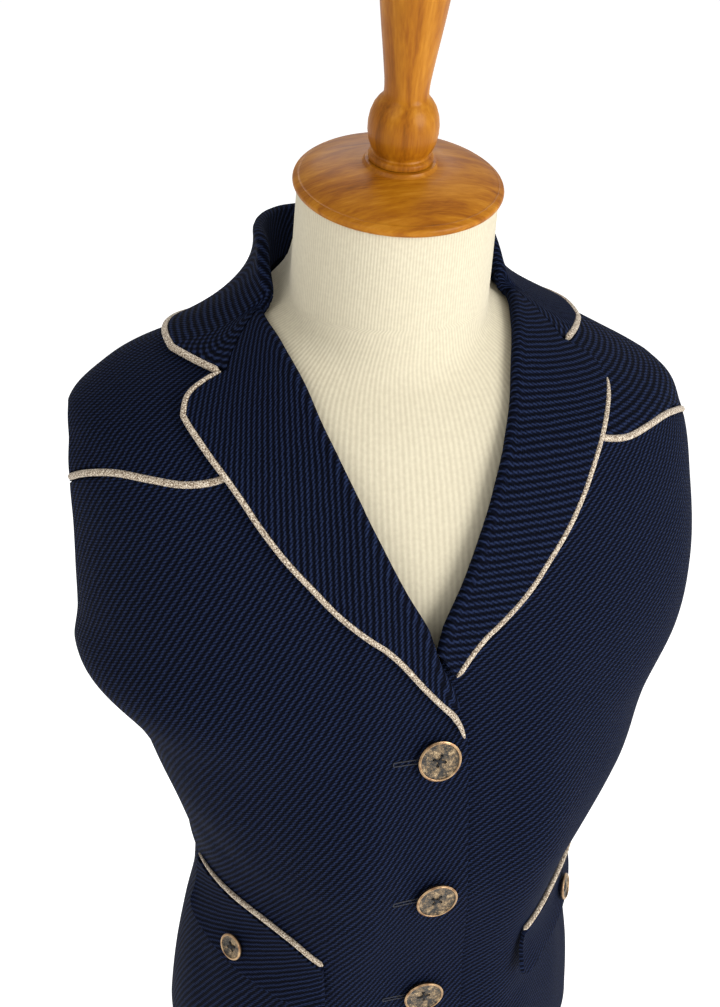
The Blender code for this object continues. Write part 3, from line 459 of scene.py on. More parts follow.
def fold_depth(places, side):
    """How far the soft folds sink at each place."""
    flat = places * np.array([MM_PER_DEGREE, 1.0])
    sunk = np.zeros(places.shape[:-1])
    for row in FOLDS:
        fold = dict(zip(FOLD_COLUMNS, row))
        if fold["side"] != side:
            continue
        start = np.array(fold["from"]) * (MM_PER_DEGREE, 1.0)
        run = np.array(fold["to"]) * (MM_PER_DEGREE, 1.0) - start
        along = ((flat - start) @ run) / (run @ run)
        off = flat - start - np.clip(along, 0, 1)[..., None] * run
        near = np.exp(-(off**2).sum(-1) / fold["half_width"] ** 2)
        fade = smooth((1.15 - along) / 0.7) * smooth((along + 0.25) / 0.3)
        sunk += fold["depth"] * near * fade
    return sunk * bpy.context.scene.vest_cloth.fold_strength


def lap_rise(points, hand):
    """How far the right front rises over the left one at the centre."""
    if hand > 0:
        return np.zeros(points.shape[:-1])
    return LAP_RISE * ramp(points[..., 0], LAP_ACROSS)


def layer(places, hand, lift, folded=False):
    """Points over one front: the skin, the lap's rise and the lift."""
    places = np.asarray(places, float) * np.array([hand, 1.0])
    base = skin(places[..., 0], places[..., 1])
    normal = skin_normal(places[..., 0], places[..., 1])
    lift = lap_rise(base, hand) + lift
    if folded:
        lift = lift - fold_depth(places, "left" if hand > 0 else "right")
    return base + normal * lift[..., None], normal


# The flat lie of the cloth, for its grain

CHART_STEP = (3.0, 8.0)


def flat_chart():
    """Distances on the skin in mm, from the centre front and from the underarm's level."""
    bearing = np.arange(-180.0, 181.0, CHART_STEP[0])
    level = np.arange(-520.0, 41.0, CHART_STEP[1])
    b, lv = np.meshgrid(bearing, level)
    points = skin(b, lv)
    u, v = run_along(points, 1), run_along(points, 0)
    u -= u[:, [len(bearing) // 2]]
    v -= v[[int(np.argmin(np.abs(level - ARM_LEVEL)))]]
    return bearing, level, u, v + ARM_LEVEL


CHART = flat_chart()


def flat_place(places):
    """Where the places lie on the cloth laid flat, in mm."""
    bearing, level, u, v = CHART
    i = np.clip((places[..., 1] - level[0]) / CHART_STEP[1], 0, len(level) - 1.001)
    j = np.clip((places[..., 0] - bearing[0]) / CHART_STEP[0], 0, len(bearing) - 1.001)
    row, column = i.astype(int), j.astype(int)
    a, b = i - row, j - column
    found = []
    for grid in (u, v):
        found.append(grid[row, column] * (1 - a) * (1 - b) + grid[row, column + 1] * (1 - a) * b
                     + grid[row + 1, column] * a * (1 - b) + grid[row + 1, column + 1] * a * b)
    return np.stack(found, -1)


def grain_map(flat, piece):
    """Distances across and along the ribs of a piece."""
    rise, coarser = GRAIN[piece]
    turn = math.radians(rise)
    across = flat @ np.array([-math.sin(turn), math.cos(turn)])
    along = flat @ np.array([math.cos(turn), math.sin(turn)])
    return np.stack([across, along], -1) / coarser


# Materials

def linear(code):
    """A colour from its sRGB hex code, as the shader wants it."""
    parts = [int(code[k:k + 2], 16) / 255 for k in (0, 2, 4)]
    parts = [c / 12.92 if c <= 0.04045 else ((c + 0.055) / 1.055) ** 2.4 for c in parts]
    return (*parts, 1.0)


def per_metre(size):
    """A texture's scale in metres, from the size of its marks in mm."""
    return 1 / (size * MM)


def add(tree, kind, inputs=None, **settings):
    """A node with its settings, and its inputs set or linked, to a node by its first output."""
    node = tree.nodes.new("ShaderNode" + kind)
    for name, value in settings.items():
        setattr(node, name, value)
    for name, value in (inputs or {}).items():
        if isinstance(value, bpy.types.Node):
            value = value.outputs[0]
        if isinstance(value, bpy.types.NodeSocket):
            tree.links.new(value, node.inputs[name])
        else:
            node.inputs[name].default_value = value
    return node


def start_material(name, **values):
    """A new material and its shader, with plain numbers set on the shader's own sockets."""
    made = bpy.data.materials.new(name)
    made.use_nodes = True
    shader = made.node_tree.nodes["Principled BSDF"]
    for key, value in values.items():
        shader.inputs[key.replace("_", " ").title().replace("Ior", "IOR")].default_value = value
    return made, made.node_tree, shader


def set_stops(tones, *stops):
    """Sets a colour ramp's stops, each a position and an sRGB hex code."""
    elements = tones.color_ramp.elements
    while len(elements) < len(stops):
        elements.new(0.5)
    for element, (position, code) in zip(elements, stops):
        element.position = position
        element.color = linear(code)


def surface(tree, shader, colour, height=None, strength=0.0, deep=0.0):
    """Links a colour and, with a height, a bump that is deep mm from low to high."""
    if isinstance(colour, bpy.types.Node):
        colour = colour.outputs[0]
    tree.links.new(colour, shader.inputs["Base Color"])
    if height:
        bump = add(tree, "Bump", {"Strength": strength, "Distance": deep * MM, "Height": height})
        tree.links.new(bump.outputs[0], shader.inputs["Normal"])


def shared(maker):
    """Makes a material when it is first asked for, and then hands out the same one."""
    def look():
        return bpy.data.materials.get(maker.__name__) or maker()
    return look


@shared
def navy_wool_twill():
    """Heavy wool-blend twill, woven with thick floats that lie in diagonal ribs.

    The eye sees narrow raised ribs, short yarn floats across them and a faint lint bloom.
    Painted shade darkens the grooves and a painted highlight lightens the ribs and floats.
    """
    cloth = bpy.context.scene.vest_cloth
    made, tree, shader = start_material(
        "navy_wool_twill", roughness=0.85, specular_ior_level=0.05, sheen_weight=0.02,
        sheen_roughness=0.4, sheen_tint=linear("4a5878"))
    waver, waver_length, lint_size = 1.1, 6.25, 0.833
    float_lean, float_pitch = 1.35, 0.8 * cloth.rib_pitch
    sharpness, float_share, lint_share = 1.8, 0.3, 1.5
    grain = add(tree, "UVMap", uv_map="grain")
    split = add(tree, "SeparateXYZ", {0: grain})
    across, along = split.outputs[0], split.outputs[1]
    wobble = add(tree, "TexNoise", {"Vector": grain, "Scale": 1 / waver_length, "Detail": 2.0})
    shift = add(tree, "Math", {0: wobble, 1: waver, 2: across}, operation="MULTIPLY_ADD")
    turns = add(tree, "Math", {0: shift, 1: math.pi / cloth.rib_pitch}, operation="MULTIPLY")
    wave = add(tree, "Math", {0: turns}, operation="SINE")
    ridge = add(tree, "Math", {0: wave}, operation="ABSOLUTE")
    narrow = add(tree, "Math", {0: ridge, 1: sharpness}, operation="POWER")
    slant = add(tree, "Math", {0: across, 1: float_lean, 2: along}, operation="MULTIPLY_ADD")
    float_turns = add(tree, "Math", {0: slant, 1: 2 * math.pi / float_pitch}, operation="MULTIPLY")
    floats = add(tree, "Math", {0: float_turns}, operation="SINE")
    lint = add(tree, "TexNoise", {"Vector": grain, "Scale": 1 / lint_size, "Detail": 3.0})
    yarn = add(tree, "Math", {0: floats, 1: float_share, 2: narrow}, operation="MULTIPLY_ADD")
    height = add(tree, "Math", {0: lint, 1: lint_share, 2: yarn}, operation="MULTIPLY_ADD")
    # The colour follows the height: painted shade low in the grooves, painted highlight on the rib
    # and float tops
    tone = add(tree, "MapRange", {"Value": height, "From Min": 0.65, "From Max": 2.0})
    colour = add(tree, "ValToRGB", {"Fac": tone})
    set_stops(colour, (0.0, cloth.groove), (0.5, "080d1e"), (1.0, cloth.ribs))
    surface(tree, shader, colour, height, strength=0.7, deep=0.6)
    return made


@shared
def oatmeal_braid():
    """Piping cord covered in a loose oatmeal weave with dark and bright yarns.

    The eye sees a speckled pale line with small slanting twists.
    """
    trim = bpy.context.scene.vest_trim
    made, tree, shader = start_material(
        "oatmeal_braid", roughness=0.72, sheen_weight=0.2, specular_ior_level=0.4)
    place = add(tree, "TexCoord").outputs["Object"]
    specks = add(tree, "TexVoronoi", {"Vector": place, "Scale": per_metre(0.87)})
    tangle = add(tree, "TexNoise", {
        "Vector": place, "Scale": per_metre(0.769), "Detail": 2.0, "Roughness": 0.7})
    colour = add(tree, "ValToRGB", {"Fac": tangle})
    set_stops(colour, (0.38, trim.fleck), (0.46, "9c8a74"), (0.53, trim.piping), (0.62, "ece0cc"))
    height = add(tree, "Math", {0: specks, 1: tangle}, operation="ADD")
    surface(tree, shader, colour, height, strength=0.6, deep=0.4)
    return made


@shared
def rubbed_brass():
    """Cast brass, plated copper gold and rubbed bright by hand along the rim.

    The eye sees a thin warm ring, dull in patches and brighter where it is worn.
    """
    made, tree, shader = start_material("rubbed_brass", metallic=1.0)
    place = add(tree, "TexCoord").outputs["Object"]
    wear = add(tree, "TexNoise", {"Vector": place, "Scale": per_metre(3.85), "Detail": 4.0})
    colour = add(tree, "ValToRGB", {"Fac": wear})
    set_stops(colour, (0.35, "86664b"), (0.6, bpy.context.scene.vest_trim.rim))
    rough = add(tree, "MapRange", {"Value": wear, "To Min": 0.42, "To Max": 0.24})
    tree.links.new(rough.outputs[0], shader.inputs["Roughness"])
    surface(tree, shader, colour)
    return made


@shared
def crackled_face():
    """Brass face cast with a horn crackle and darkened in its low places.

    The eye sees tan and grey plates parted by dark cracks.
    """
    made, tree, shader = start_material("crackled_face", roughness=0.36, metallic=0.4)
    place = add(tree, "TexCoord").outputs["Object"]
    cracks = add(tree, "TexVoronoi", {"Vector": place, "Scale": per_metre(1.053)},
                 feature="DISTANCE_TO_EDGE")
    patches = add(tree, "TexNoise", {
        "Vector": place, "Scale": per_metre(3.85), "Detail": 6.0, "Roughness": 0.75})
    mottle = add(tree, "ValToRGB", {"Fac": patches})
    set_stops(mottle, (0.38, "181a20"), (0.48, bpy.context.scene.vest_trim.face),
              (0.56, "8a7355"), (0.66, "cbb28a"))
    depth = add(tree, "MapRange", {"Value": cracks, "From Max": 0.14, "To Min": 0.3})
    shade = add(tree, "Mix", data_type="RGBA", blend_type="MULTIPLY")
    shade.inputs[0].default_value = 1.0
    tree.links.new(mottle.outputs[0], shade.inputs[6])
    tree.links.new(depth.outputs[0], shade.inputs[7])
    surface(tree, shader, shade.outputs[2], depth, strength=0.5, deep=0.2)
    return made


@shared
def waxed_thread():
    """Waxed polyester button thread, twisted; it reads as nearly black."""
    made, tree, shader = start_material("waxed_thread", roughness=0.6)
    place = add(tree, "TexCoord").outputs["Object"]
    strands = add(tree, "TexNoise", {"Vector": place, "Scale": per_metre(0.556)})
    colour = add(tree, "ValToRGB", {"Fac": strands})
    set_stops(colour, (0.35, bpy.context.scene.vest_trim.thread), (0.7, "0d1019"))
    surface(tree, shader, colour)
    return made


@shared
def buttonhole_twist():
    """Navy silk twist, worked close round a buttonhole; it stands up from the wool."""
    made, tree, shader = start_material("buttonhole_twist", roughness=0.6)
    place = add(tree, "TexCoord").outputs["Object"]
    stitches = add(tree, "TexNoise", {"Vector": place, "Scale": per_metre(0.714)})
    colour = add(tree, "ValToRGB", {"Fac": stitches})
    set_stops(colour, (0.38, "05070f"), (0.62, "141b2e"))
    surface(tree, shader, colour, stitches, strength=0.6, deep=0.3)
    return made


@shared
def ribbed_cream_jersey():
    """Cotton jersey knitted in fine ribs and stretched over padding.

    The eye sees hairline vertical ribs and a slightly uneven cream; the rib lines are painted shade
    in the valleys between the ribs.
    """
    form = bpy.context.scene.vest_form
    made, tree, shader = start_material(
        "ribbed_cream_jersey", roughness=0.9, sheen_weight=0.15, specular_ior_level=0.3)
    turn = add(tree, "SeparateXYZ", {0: add(tree, "UVMap", uv_map="grain")})
    turns = add(tree, "Math", {0: turn, 1: 2 * math.pi * form.rib_count}, operation="MULTIPLY")
    ribs = add(tree, "Math", {0: turns}, operation="SINE")
    place = add(tree, "TexCoord").outputs["Object"]
    slub = add(tree, "TexNoise", {"Vector": place, "Scale": per_metre(2.38), "Detail": 3.0})
    # The colour follows the height: painted shade in the valleys between the knit ribs, while the
    # slub's uneven cream is the jersey's own tone
    height = add(tree, "Math", {0: ribs, 1: 0.3, 2: slub}, operation="MULTIPLY_ADD")
    tone = add(tree, "MapRange", {"Value": height, "From Min": 0.1, "From Max": 0.9})
    colour = add(tree, "ValToRGB", {"Fac": tone})
    set_stops(colour, (0.0, "c4baa1"), (1.0, form.jersey))
    surface(tree, shader, colour, height, strength=0.35, deep=0.4)
    return made


def turned_wood(name, stretch):
    """Turned hardwood under honey varnish, its grain stretched by the given scale.

    The eye sees long dark grain lines under a clear, soft gloss.
    """
    form = bpy.context.scene.vest_form
    made, tree, shader = start_material(
        name, roughness=0.42, specular_ior_level=0.08, coat_weight=0.15, coat_roughness=0.25)
    place = add(tree, "TexCoord").outputs["Object"]
    scaled = add(tree, "Mapping", {"Vector": place, "Scale": stretch})
    bands = add(tree, "TexNoise", {"Vector": scaled, "Scale": per_metre(18.2), "Detail": 6.0,
                                   "Roughness": 0.6, "Distortion": 0.6})
    pores = add(tree, "TexNoise", {"Vector": scaled, "Scale": per_metre(2.38), "Detail": 3.0})
    mixed = add(tree, "Math", {0: pores, 1: 0.3, 2: bands}, operation="MULTIPLY_ADD")
    colour = add(tree, "ValToRGB", {"Fac": mixed})
    set_stops(colour, (0.40, form.grain), (0.56, "94560c"), (0.70, form.wood), (0.85, "b87a20"))
    surface(tree, shader, colour, mixed, strength=0.12, deep=0.3)
    return made


@shared
def opal_acrylic():
    """Opal acrylic sheet, cast and lit softly from below as a photographer's table is.

    The eye sees an even, nearly white floor without a horizon.
    """
    white = bpy.context.scene.vest_studio.floor
    made, tree, shader = start_material(
        "opal_acrylic", roughness=0.9, emission_strength=0.5, emission_color=linear(white))
    place = add(tree, "TexCoord").outputs["Object"]
    haze = add(tree, "TexNoise", {"Vector": place, "Scale": per_metre(333)})
    colour = add(tree, "ValToRGB", {"Fac": haze})
    set_stops(colour, (0.3, "f9f9f9"), (0.7, white))
    surface(tree, shader, colour)
    return made


# Making pieces

def to_scene(points):
    """From tailor's millimetres to metres above the floor."""
    return (np.asarray(points, float) + np.array([0, 0, FLOOR_DROP])) * MM


def seat_piece(piece, node=None):
    """Lets the piece ride on the part and stand for its node."""
    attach(piece, BODY)
    if node:
        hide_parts(node)
    return piece


def new_object(name, data, look):
    """An object in the scene, with its first material."""
    made = bpy.data.objects.new(name, data)
    data.materials.append(look)
    bpy.context.scene.collection.objects.link(made)
    return made


def grid_mesh(name, points, grain, wrap=False):
    """A grid bent to the points [row, column], with its grain map."""
    rows, columns = points.shape[:2]
    made = bmesh.new()
    bmesh.ops.create_grid(made, x_segments=columns - 1, y_segments=rows - 1, size=1.0)
    lay = made.loops.layers.uv.new("grain")
    where = to_scene(points)
    for vert in made.verts:
        column = round((vert.co.x + 1) / 2 * (columns - 1))
        row = round((vert.co.y + 1) / 2 * (rows - 1))
        vert.co = Vector(where[row, column])
        for loop in vert.link_loops:
            loop[lay].uv = grain[row, column]
    if wrap:
        bmesh.ops.remove_doubles(made, verts=made.verts, dist=0.00001)
        open_edges = [edge for edge in made.edges if edge.is_boundary]
        bmesh.ops.holes_fill(made, edges=open_edges, sides=0)
        bmesh.ops.recalc_face_normals(made, faces=made.faces)
    mesh = bpy.data.meshes.new(name)
    made.to_mesh(mesh)
    made.free()
    mesh.shade_smooth()
    return mesh


def cloth_shell(name, points, grain, thickness, look):
    """A wall of cloth on both sides of the points, with soft edges."""
    made = new_object(name, grid_mesh(name, points, grain), look)
    wall = made.modifiers.new("thickness", "SOLIDIFY")
    wall.thickness = thickness * MM
    wall.offset = 0.0
    soften = made.modifiers.new("soft_edges", "BEVEL")
    soften.width = 0.2 * thickness * MM
    soften.segments = 2
    soften.limit_method = "ANGLE"
    soften.angle_limit = math.radians(60)
    return made


def cloth_piece(node, points, grain, thickness):
    """A shell of twill that stands for its node."""
    shell = cloth_shell(f"cloth_{node}", points, grain, thickness, navy_wool_twill())
    return seat_piece(shell, node)


def cord_data(name, radius, rounding):
    """An empty curve that draws its lines as round cords."""
    data = bpy.data.curves.new(name, "CURVE")
    data.dimensions = "3D"
    data.bevel_depth = radius * MM
    data.bevel_resolution = rounding
    data.use_fill_caps = True
    return data


def add_line(data, points):
    """Adds a line through points in metres."""
    line = data.splines.new("POLY")
    line.points.add(len(points) - 1)
    for point, where in zip(line.points, points):
        point.co = (*where, 1.0)
    return line


def cord_curve(name, points, radius, look, taper=(0.0, 0.0), rounding=4):
    """A round cord along the points, thinned over its first and last stretch in mm."""
    data = cord_data(name, radius, rounding)
    run = run_along(points)
    for k, point in enumerate(add_line(data, to_scene(points)).points):
        point.radius = 1.0
        for stretch, gone in zip(taper, (run[k], run[-1] - run[k])):
            if stretch:
                point.radius *= 0.25 + 0.75 * math.sqrt(min(1.0, gone / stretch))
    return new_object(name, data, look)


def resampled(path, spacing):
    """Points at even spacing along a rounded path."""
    run = run_along(path)
    return at_lengths(np.linspace(0, run[-1], max(3, int(run[-1] / spacing))), run, path)


def shortened(path, start, end):
    """The path with its ends cut back."""
    run, least = run_along(path), 0.3
    last = run[-1] - end
    kept = [length for length in run if start + least < length < last - least]
    return at_lengths([start, *kept, last], run, path)


def beside(rim, turn, gap):
    """A path that keeps one gap outside an edge, square to it and along the cloth."""
    places = place_of(rim)
    normal = skin_normal(places[:, 0], places[:, 1])
    run = unit(np.diff(rim, axis=0))
    out = unit(np.cross(run, (normal[1:] + normal[:-1]) / 2) * turn)
    first = np.concatenate([out[:1], out])
    second = np.concatenate([out, out[-1:]])
    way = unit(first + second)
    stretch = np.maximum((way * first).sum(-1), 0.6)
    return rim + way * (gap / stretch)[:, None]


def piping(part, path, radius, taper):
    """The covered cord along a seam or an edge."""
    cord = cord_curve(f"braid_{part}", resampled(path, PIPING_STEP), radius, oatmeal_braid(), taper)
    return seat_piece(cord, f"piping_{part}")


def turned_mesh(name, profile, steps, look):
    """A profile of (radius, height) pairs, top to bottom, turned about its axis."""
    mesh = bpy.data.meshes.new(name)
    made = bmesh.new()
    verts = [made.verts.new((radius * MM, 0.0, height * MM)) for radius, height in profile]
    edges = [made.edges.new(pair) for pair in zip(verts, verts[1:])]
    bmesh.ops.spin(made, geom=verts + edges, axis=(0, 0, 1), cent=(0, 0, 0), steps=steps,
                   angle=2 * math.pi, use_merge=True)
    bmesh.ops.remove_doubles(made, verts=made.verts, dist=0.000005)
    bmesh.ops.recalc_face_normals(made, faces=made.faces)
    made.to_mesh(mesh)
    made.free()
    mesh.shade_smooth()
    mesh.set_sharp_from_angle(angle=math.radians(40))
    return new_object(name, mesh, look)


def rounded(centre_radius, centre_height, radius, start, end, steps):
    """Points of an arc in a profile; angles in degrees from straight out, up positive."""
    angles = [math.radians(start + (end - start) * k / steps) for k in range(steps + 1)]
    return [(centre_radius + radius * math.cos(a), centre_height + radius * math.sin(a))
            for a in angles]


# Pattern pieces

def lap_bearing(level):
    """The bearing of the overlap's edge, beyond the centre front."""
    stops = np.array(OVERLAP[::-1], float)
    past = np.interp(level, stops[:, 0], stops[:, 1])
    bearing = np.zeros_like(level)
    for _ in range(8):
        depth = CORE_Y - skin(bearing, level)[..., 1]
        bearing = np.degrees(np.arctan2(past, depth))
    return -bearing


def parted(path, move):
    """A seam's edge moved up or down, less where the lapel hides the seam."""
    shown = ramp(path[:, 0], (LAPEL_COVERS - COVER_SOFT, LAPEL_COVERS + COVER_SOFT))
    hidden = 1.5 * SEAM_GAP
    shift = hidden + (abs(move) - hidden) * shown
    moved = path.copy()
    moved[:, 1] += np.sign(move) * shift / SEAM_MM_PER_LEVEL
    return moved


def front_places(body_rows, arm_rows, columns):
    """A front from hem to yoke seam and from the overlap to the side seam."""
    level = np.linspace(HEM, BREAK[1], body_rows + 1)
    edge = np.stack([lap_bearing(level), level], 1)
    left = joined(edge, curve_through(ROLL_LOWER, arm_rows))
    side = curve_through(HEM_STOPS, body_rows) - np.array([SEAM_GAP / 5, 0])
    right = joined(side, curve_through(FRONT_ARMHOLE, arm_rows))
    top = parted(curve_through(YOKE_SEAM, columns), -(PIPING + SEAM_GAP))
    left[-1], right[-1] = top[0], top[-1]
    return patch(curve_through((left[0], right[0]), columns), top, left, right)


def shoulder_edge(steps, turn):
    """The shoulder seam's edge, moved forward (-1) or back (1) by half its gap."""
    seam = curve_through(SHOULDER_SEAM, steps)
    seam[:, 0] += turn * np.linspace(*SHOULDER_GAP, steps + 1) / 2
    return seam


def yoke_places(rows, columns):
    """A yoke from its piped seam to the shoulder seam."""
    bottom = parted(curve_through(YOKE_SEAM, columns), PIPING + SEAM_GAP)
    arm = curve_through(YOKE_ARMHOLE, rows)
    neck = curve_through(ROLL_UPPER[:-1] + NECK_SIDE, rows)
    top = shoulder_edge(columns, -1)
    neck[0], arm[0] = bottom[0], bottom[-1]
    neck[-1], arm[-1] = top[0], top[-1]
    return patch(bottom, top, neck, arm)


def back_places(body_rows, arm_rows, neck_columns, shoulder_columns):
    """Half the back, from the centre seam to the side seam and the armhole."""
    side = curve_through(HEM_STOPS, body_rows) + np.array([SEAM_GAP / 5, 0])
    arm = joined(side, curve_through(BACK_ARMHOLE, arm_rows))
    centre = 180.0 - SEAM_GAP / 8
    middle = curve_through(((centre, HEM), (centre, NECK_BACK[0][1])), body_rows + arm_rows)
    neck = curve_through(((centre, NECK_BACK[0][1]),) + NECK_BACK[1:], neck_columns)
    seam = shoulder_edge(shoulder_columns, 1)
    neck[-1] = seam[0]
    top = joined(neck, seam)
    arm[-1] = top[-1]
    hem = curve_through((middle[0], arm[0]), neck_columns + shoulder_columns)
    return patch(hem, top, middle, arm)


SIDES = ((1, "left"), (-1, "right"))


class VEST_OT_panels(bpy.types.Operator):
    """Lay the fronts, yokes and backs on the form"""
    bl_idname = "vest.panels"
    bl_label = "Fronts, yokes and backs"

    def execute(self, context):
        for hand, side in SIDES:
            pieces = (("front", front_places(*FRONT_STEPS)), ("yoke", yoke_places(*YOKE_STEPS)),
                      ("back", back_places(*BACK_STEPS)))
            for part, places in pieces:
                node = f"{part}_{side}"
                points, _ = layer(places, hand, CLOTH / 2, folded=part != "yoke")
                grain = grain_map(flat_place(places * (hand, 1.0)), node)
                shell = cloth_piece(node, points, grain, CLOTH)
        return {"FINISHED"}


# Lapels, collar and flaps

def fold_points(root, inward, outward, radius, steps):
    """A half turn of cloth from the root, first inward, then out over itself."""
    turn = np.linspace(0, math.pi, steps + 1)
    return [root + (inward * math.sin(a) + outward * (1 - math.cos(a))) * radius for a in turn]


def leaf_lift(share):
    """How far a turned-down leaf lies off the skin, from its fold to its edge."""
    at_fold = CLOTH / 2 + 2 * FOLD
    return float(at_fold + (LEAF_LIFT - at_fold) * smooth(share * 1.5))


def lapel_grid(hand, rows, gorge_columns, top_columns):
    """Points of a lapel, and where they lie on the flat cloth."""
    roll_stops, edge_stops = LAPEL_ROLL, LAPEL_EDGE
    if hand > 0:
        roll_stops, edge_stops = (HIDDEN_ROLL,) + LAPEL_ROLL[2:], (HIDDEN_EDGE,) + LAPEL_EDGE[2:]
    roll, edge = curve_through(roll_stops, rows), curve_through(edge_stops, rows)
    top = joined(curve_through((roll[-1], LAPEL_NOTCH), gorge_columns),
                 curve_through(LAPEL_TOP, top_columns))
    places = patch(curve_through((roll[0], edge[0]), len(top) - 1), top, roll, edge)
    base, normal = layer(roll, hand, CLOTH / 2)
    ahead, _ = layer(roll + (places[:, 1] - roll) * 0.5, hand, CLOTH / 2)
    inward = -unit(ahead - base)
    steps = FOLD_STEPS
    columns = fold_points(base + inward * ROOT_GAP, inward, normal, FOLD, steps)
    last = places.shape[1] - 1
    for k in range(1, last + 1):
        columns.append(layer(places[:, k], hand, leaf_lift(k / last))[0])
    flat = flat_place(places * (hand, 1.0))
    onward = unit(flat[:, 1] - flat[:, 0])
    turned = [flat[:, 0] - onward * FOLD * math.pi * (1 - k / steps) for k in range(steps + 1)]
    flat = np.concatenate([np.stack(turned, 1), flat[:, 1:]], 1)
    side = "left" if hand > 0 else "right"
    return np.stack(columns, 1), grain_map(flat, f"lapel_{side}")


class VEST_OT_lapels(bpy.types.Operator):
    """Turn the lapels out over the fronts, with piping on their edges"""
    bl_idname = "vest.lapels"
    bl_label = "Lapels"

    def execute(self, context):
        top_columns = LAPEL_STEPS[-1]
        for hand, side in SIDES:
            points, grain = lapel_grid(hand, *LAPEL_STEPS)
            shell = cloth_piece(f"lapel_{side}", points, grain, DOUBLED)
            rim = points[:, -1]
            if hand < 0:
                tail, _ = layer(curve_through(LAPEL_TAIL, 8), hand, LEAF_LIFT)
                rim = np.concatenate([tail[::-1], joined(rim, points[-1, :-top_columns - 2:-1])])
            cut, taper = (NOTCH_CLEAR - 3.0, (14.0, 6.0)) if hand < 0 else (0.0, (4.0, 12.0))
            path = shortened(beside(rim, hand, LAPEL_PIPING), 0.0, cut)
            edge = piping(f"lapel_{side}", path, LAPEL_PIPING, taper)
        return {"FINISHED"}


def kept_clear(points):
    """Points moved out where they would sink towards the panels below."""
    places = place_of(points)
    base = skin(places[..., 0], places[..., 1])
    normal = skin_normal(places[..., 0], places[..., 1])
    lift = ((points - base) * normal).sum(-1)
    wanted = LEAF_LIFT - FALL_EASE
    return points + normal * np.maximum(wanted - lift, 0)[..., None]


def collar_half(hand, front_steps, side_steps, stand_steps, fall_steps):
    """Sections of the collar from the gorge round to the centre back."""
    front_neck = curve_through((GORGE[0], COLLAR_NECK[0]), front_steps)
    front_edge = curve_through((GORGE[1], COLLAR_POINT), front_steps)
    neck = joined(front_neck, curve_through(COLLAR_NECK, side_steps))
    edge = joined(front_edge, curve_through(COLLAR_EDGE, side_steps))
    step = np.arange(len(neck))
    round_neck = (np.minimum(step, front_steps) / front_steps * FRONT_SHARE
                  + np.maximum(step - front_steps, 0) / side_steps * (1 - FRONT_SHARE))
    base, normal = layer(neck, hand, CLOTH / 2)
    ahead, _ = layer(neck + (edge - neck) * A_LITTLE, hand, CLOTH / 2)
    down = unit(ahead - base)
    height = STAND_HEIGHT * ramp(round_neck, STAND_RISES)
    angle = STAND_LEAN * ramp(round_neck, STAND_LEANS)
    upward = unit(-down * np.cos(angle)[:, None] + normal * np.sin(angle)[:, None])
    outward = unit(normal * np.cos(angle)[:, None] + down * np.sin(angle)[:, None])
    root = base - down * (ROOT_GAP + DOUBLED / 2 * np.sin(angle))[:, None]
    columns = [root + upward * (height * k / stand_steps)[:, None] for k in range(stand_steps)]
    columns += fold_points(root + upward * height[:, None], upward, outward, FOLD, FOLD_STEPS)
    start = columns[-1]
    finish, _ = layer(edge, hand, LEAF_LIFT)
    before, _ = layer(edge + (neck - edge) * A_LITTLE, hand, LEAF_LIFT)
    landing = unit(finish - before)
    span = np.linalg.norm(finish - start, axis=-1)[:, None]
    free = ramp(round_neck, FALL_FREE)[:, None]
    for k in range(1, fall_steps + 1):
        t = k / fall_steps
        bend_one = start - upward * span * FALL_PULL
        bend_two = finish - landing * span * FALL_PULL
        point = ((1 - t) ** 3 * start + 3 * t * (1 - t) ** 2 * bend_one
                 + 3 * t * t * (1 - t) * bend_two + t**3 * finish)
        flat, _ = layer(neck + (edge - neck) * t, hand, leaf_lift(t))
        columns.append(flat * (1 - free) + kept_clear(point) * free)
    return np.stack(columns, 1)


class VEST_OT_collar(bpy.types.Operator):
    """Stand the collar round the neck and turn it down, with piping on its edge"""
    bl_idname = "vest.collar"
    bl_label = "Collar"

    def execute(self, context):
        left, right = collar_half(1, *COLLAR_STEPS), collar_half(-1, *COLLAR_STEPS)
        points = np.concatenate([right, left[-2::-1]])
        along = run_along(points, 0).mean(1)[:, None] + 0 * points[..., 0]
        grain = grain_map(np.stack([along, -run_along(points, 1)], -1), "collar")
        shell = cloth_piece("collar", points, grain, DOUBLED)
        clear = NOTCH_CLEAR - 2.5
        path = shortened(beside(points[:, -1], -1, PIPING), clear, clear)
        edge = piping("collar", path, PIPING, (3.0, 3.0))
        return {"FINISHED"}


def flap_depth(share):
    """Deepest at the button, with small rounded corners."""
    depth = FLAP_DEPTH + FLAP_POINT * (1 - abs(2 * share - 1) ** 1.5)
    from_end = min(share, 1 - share) * FLAP_WIDTH
    if from_end < FLAP_CORNER:
        depth -= FLAP_CORNER - math.sqrt(FLAP_CORNER**2 - (FLAP_CORNER - from_end) ** 2)
    return depth


def flap_grid(hand, shares, downs):
    """Points of a flap and their places, from its seam down."""
    seam = curve_through(FLAP_SEAM, 60)
    run = np.linspace(0, 1, len(seam))
    bearing, level = np.interp(shares, run, seam[:, 0]), np.interp(shares, run, seam[:, 1])
    depth = np.array([flap_depth(share) for share in shares])
    rows, places = [], []
    for down in downs:
        drop = PIPING + 2 * SEAM_GAP + down * (depth - PIPING)
        here = np.stack([bearing, level - drop], 1)
        rows.append(layer(here, hand, FLAP_LIFT + FLAP_SPRING * down**1.5)[0])
        places.append(here)
    return np.array(rows), np.array(places)


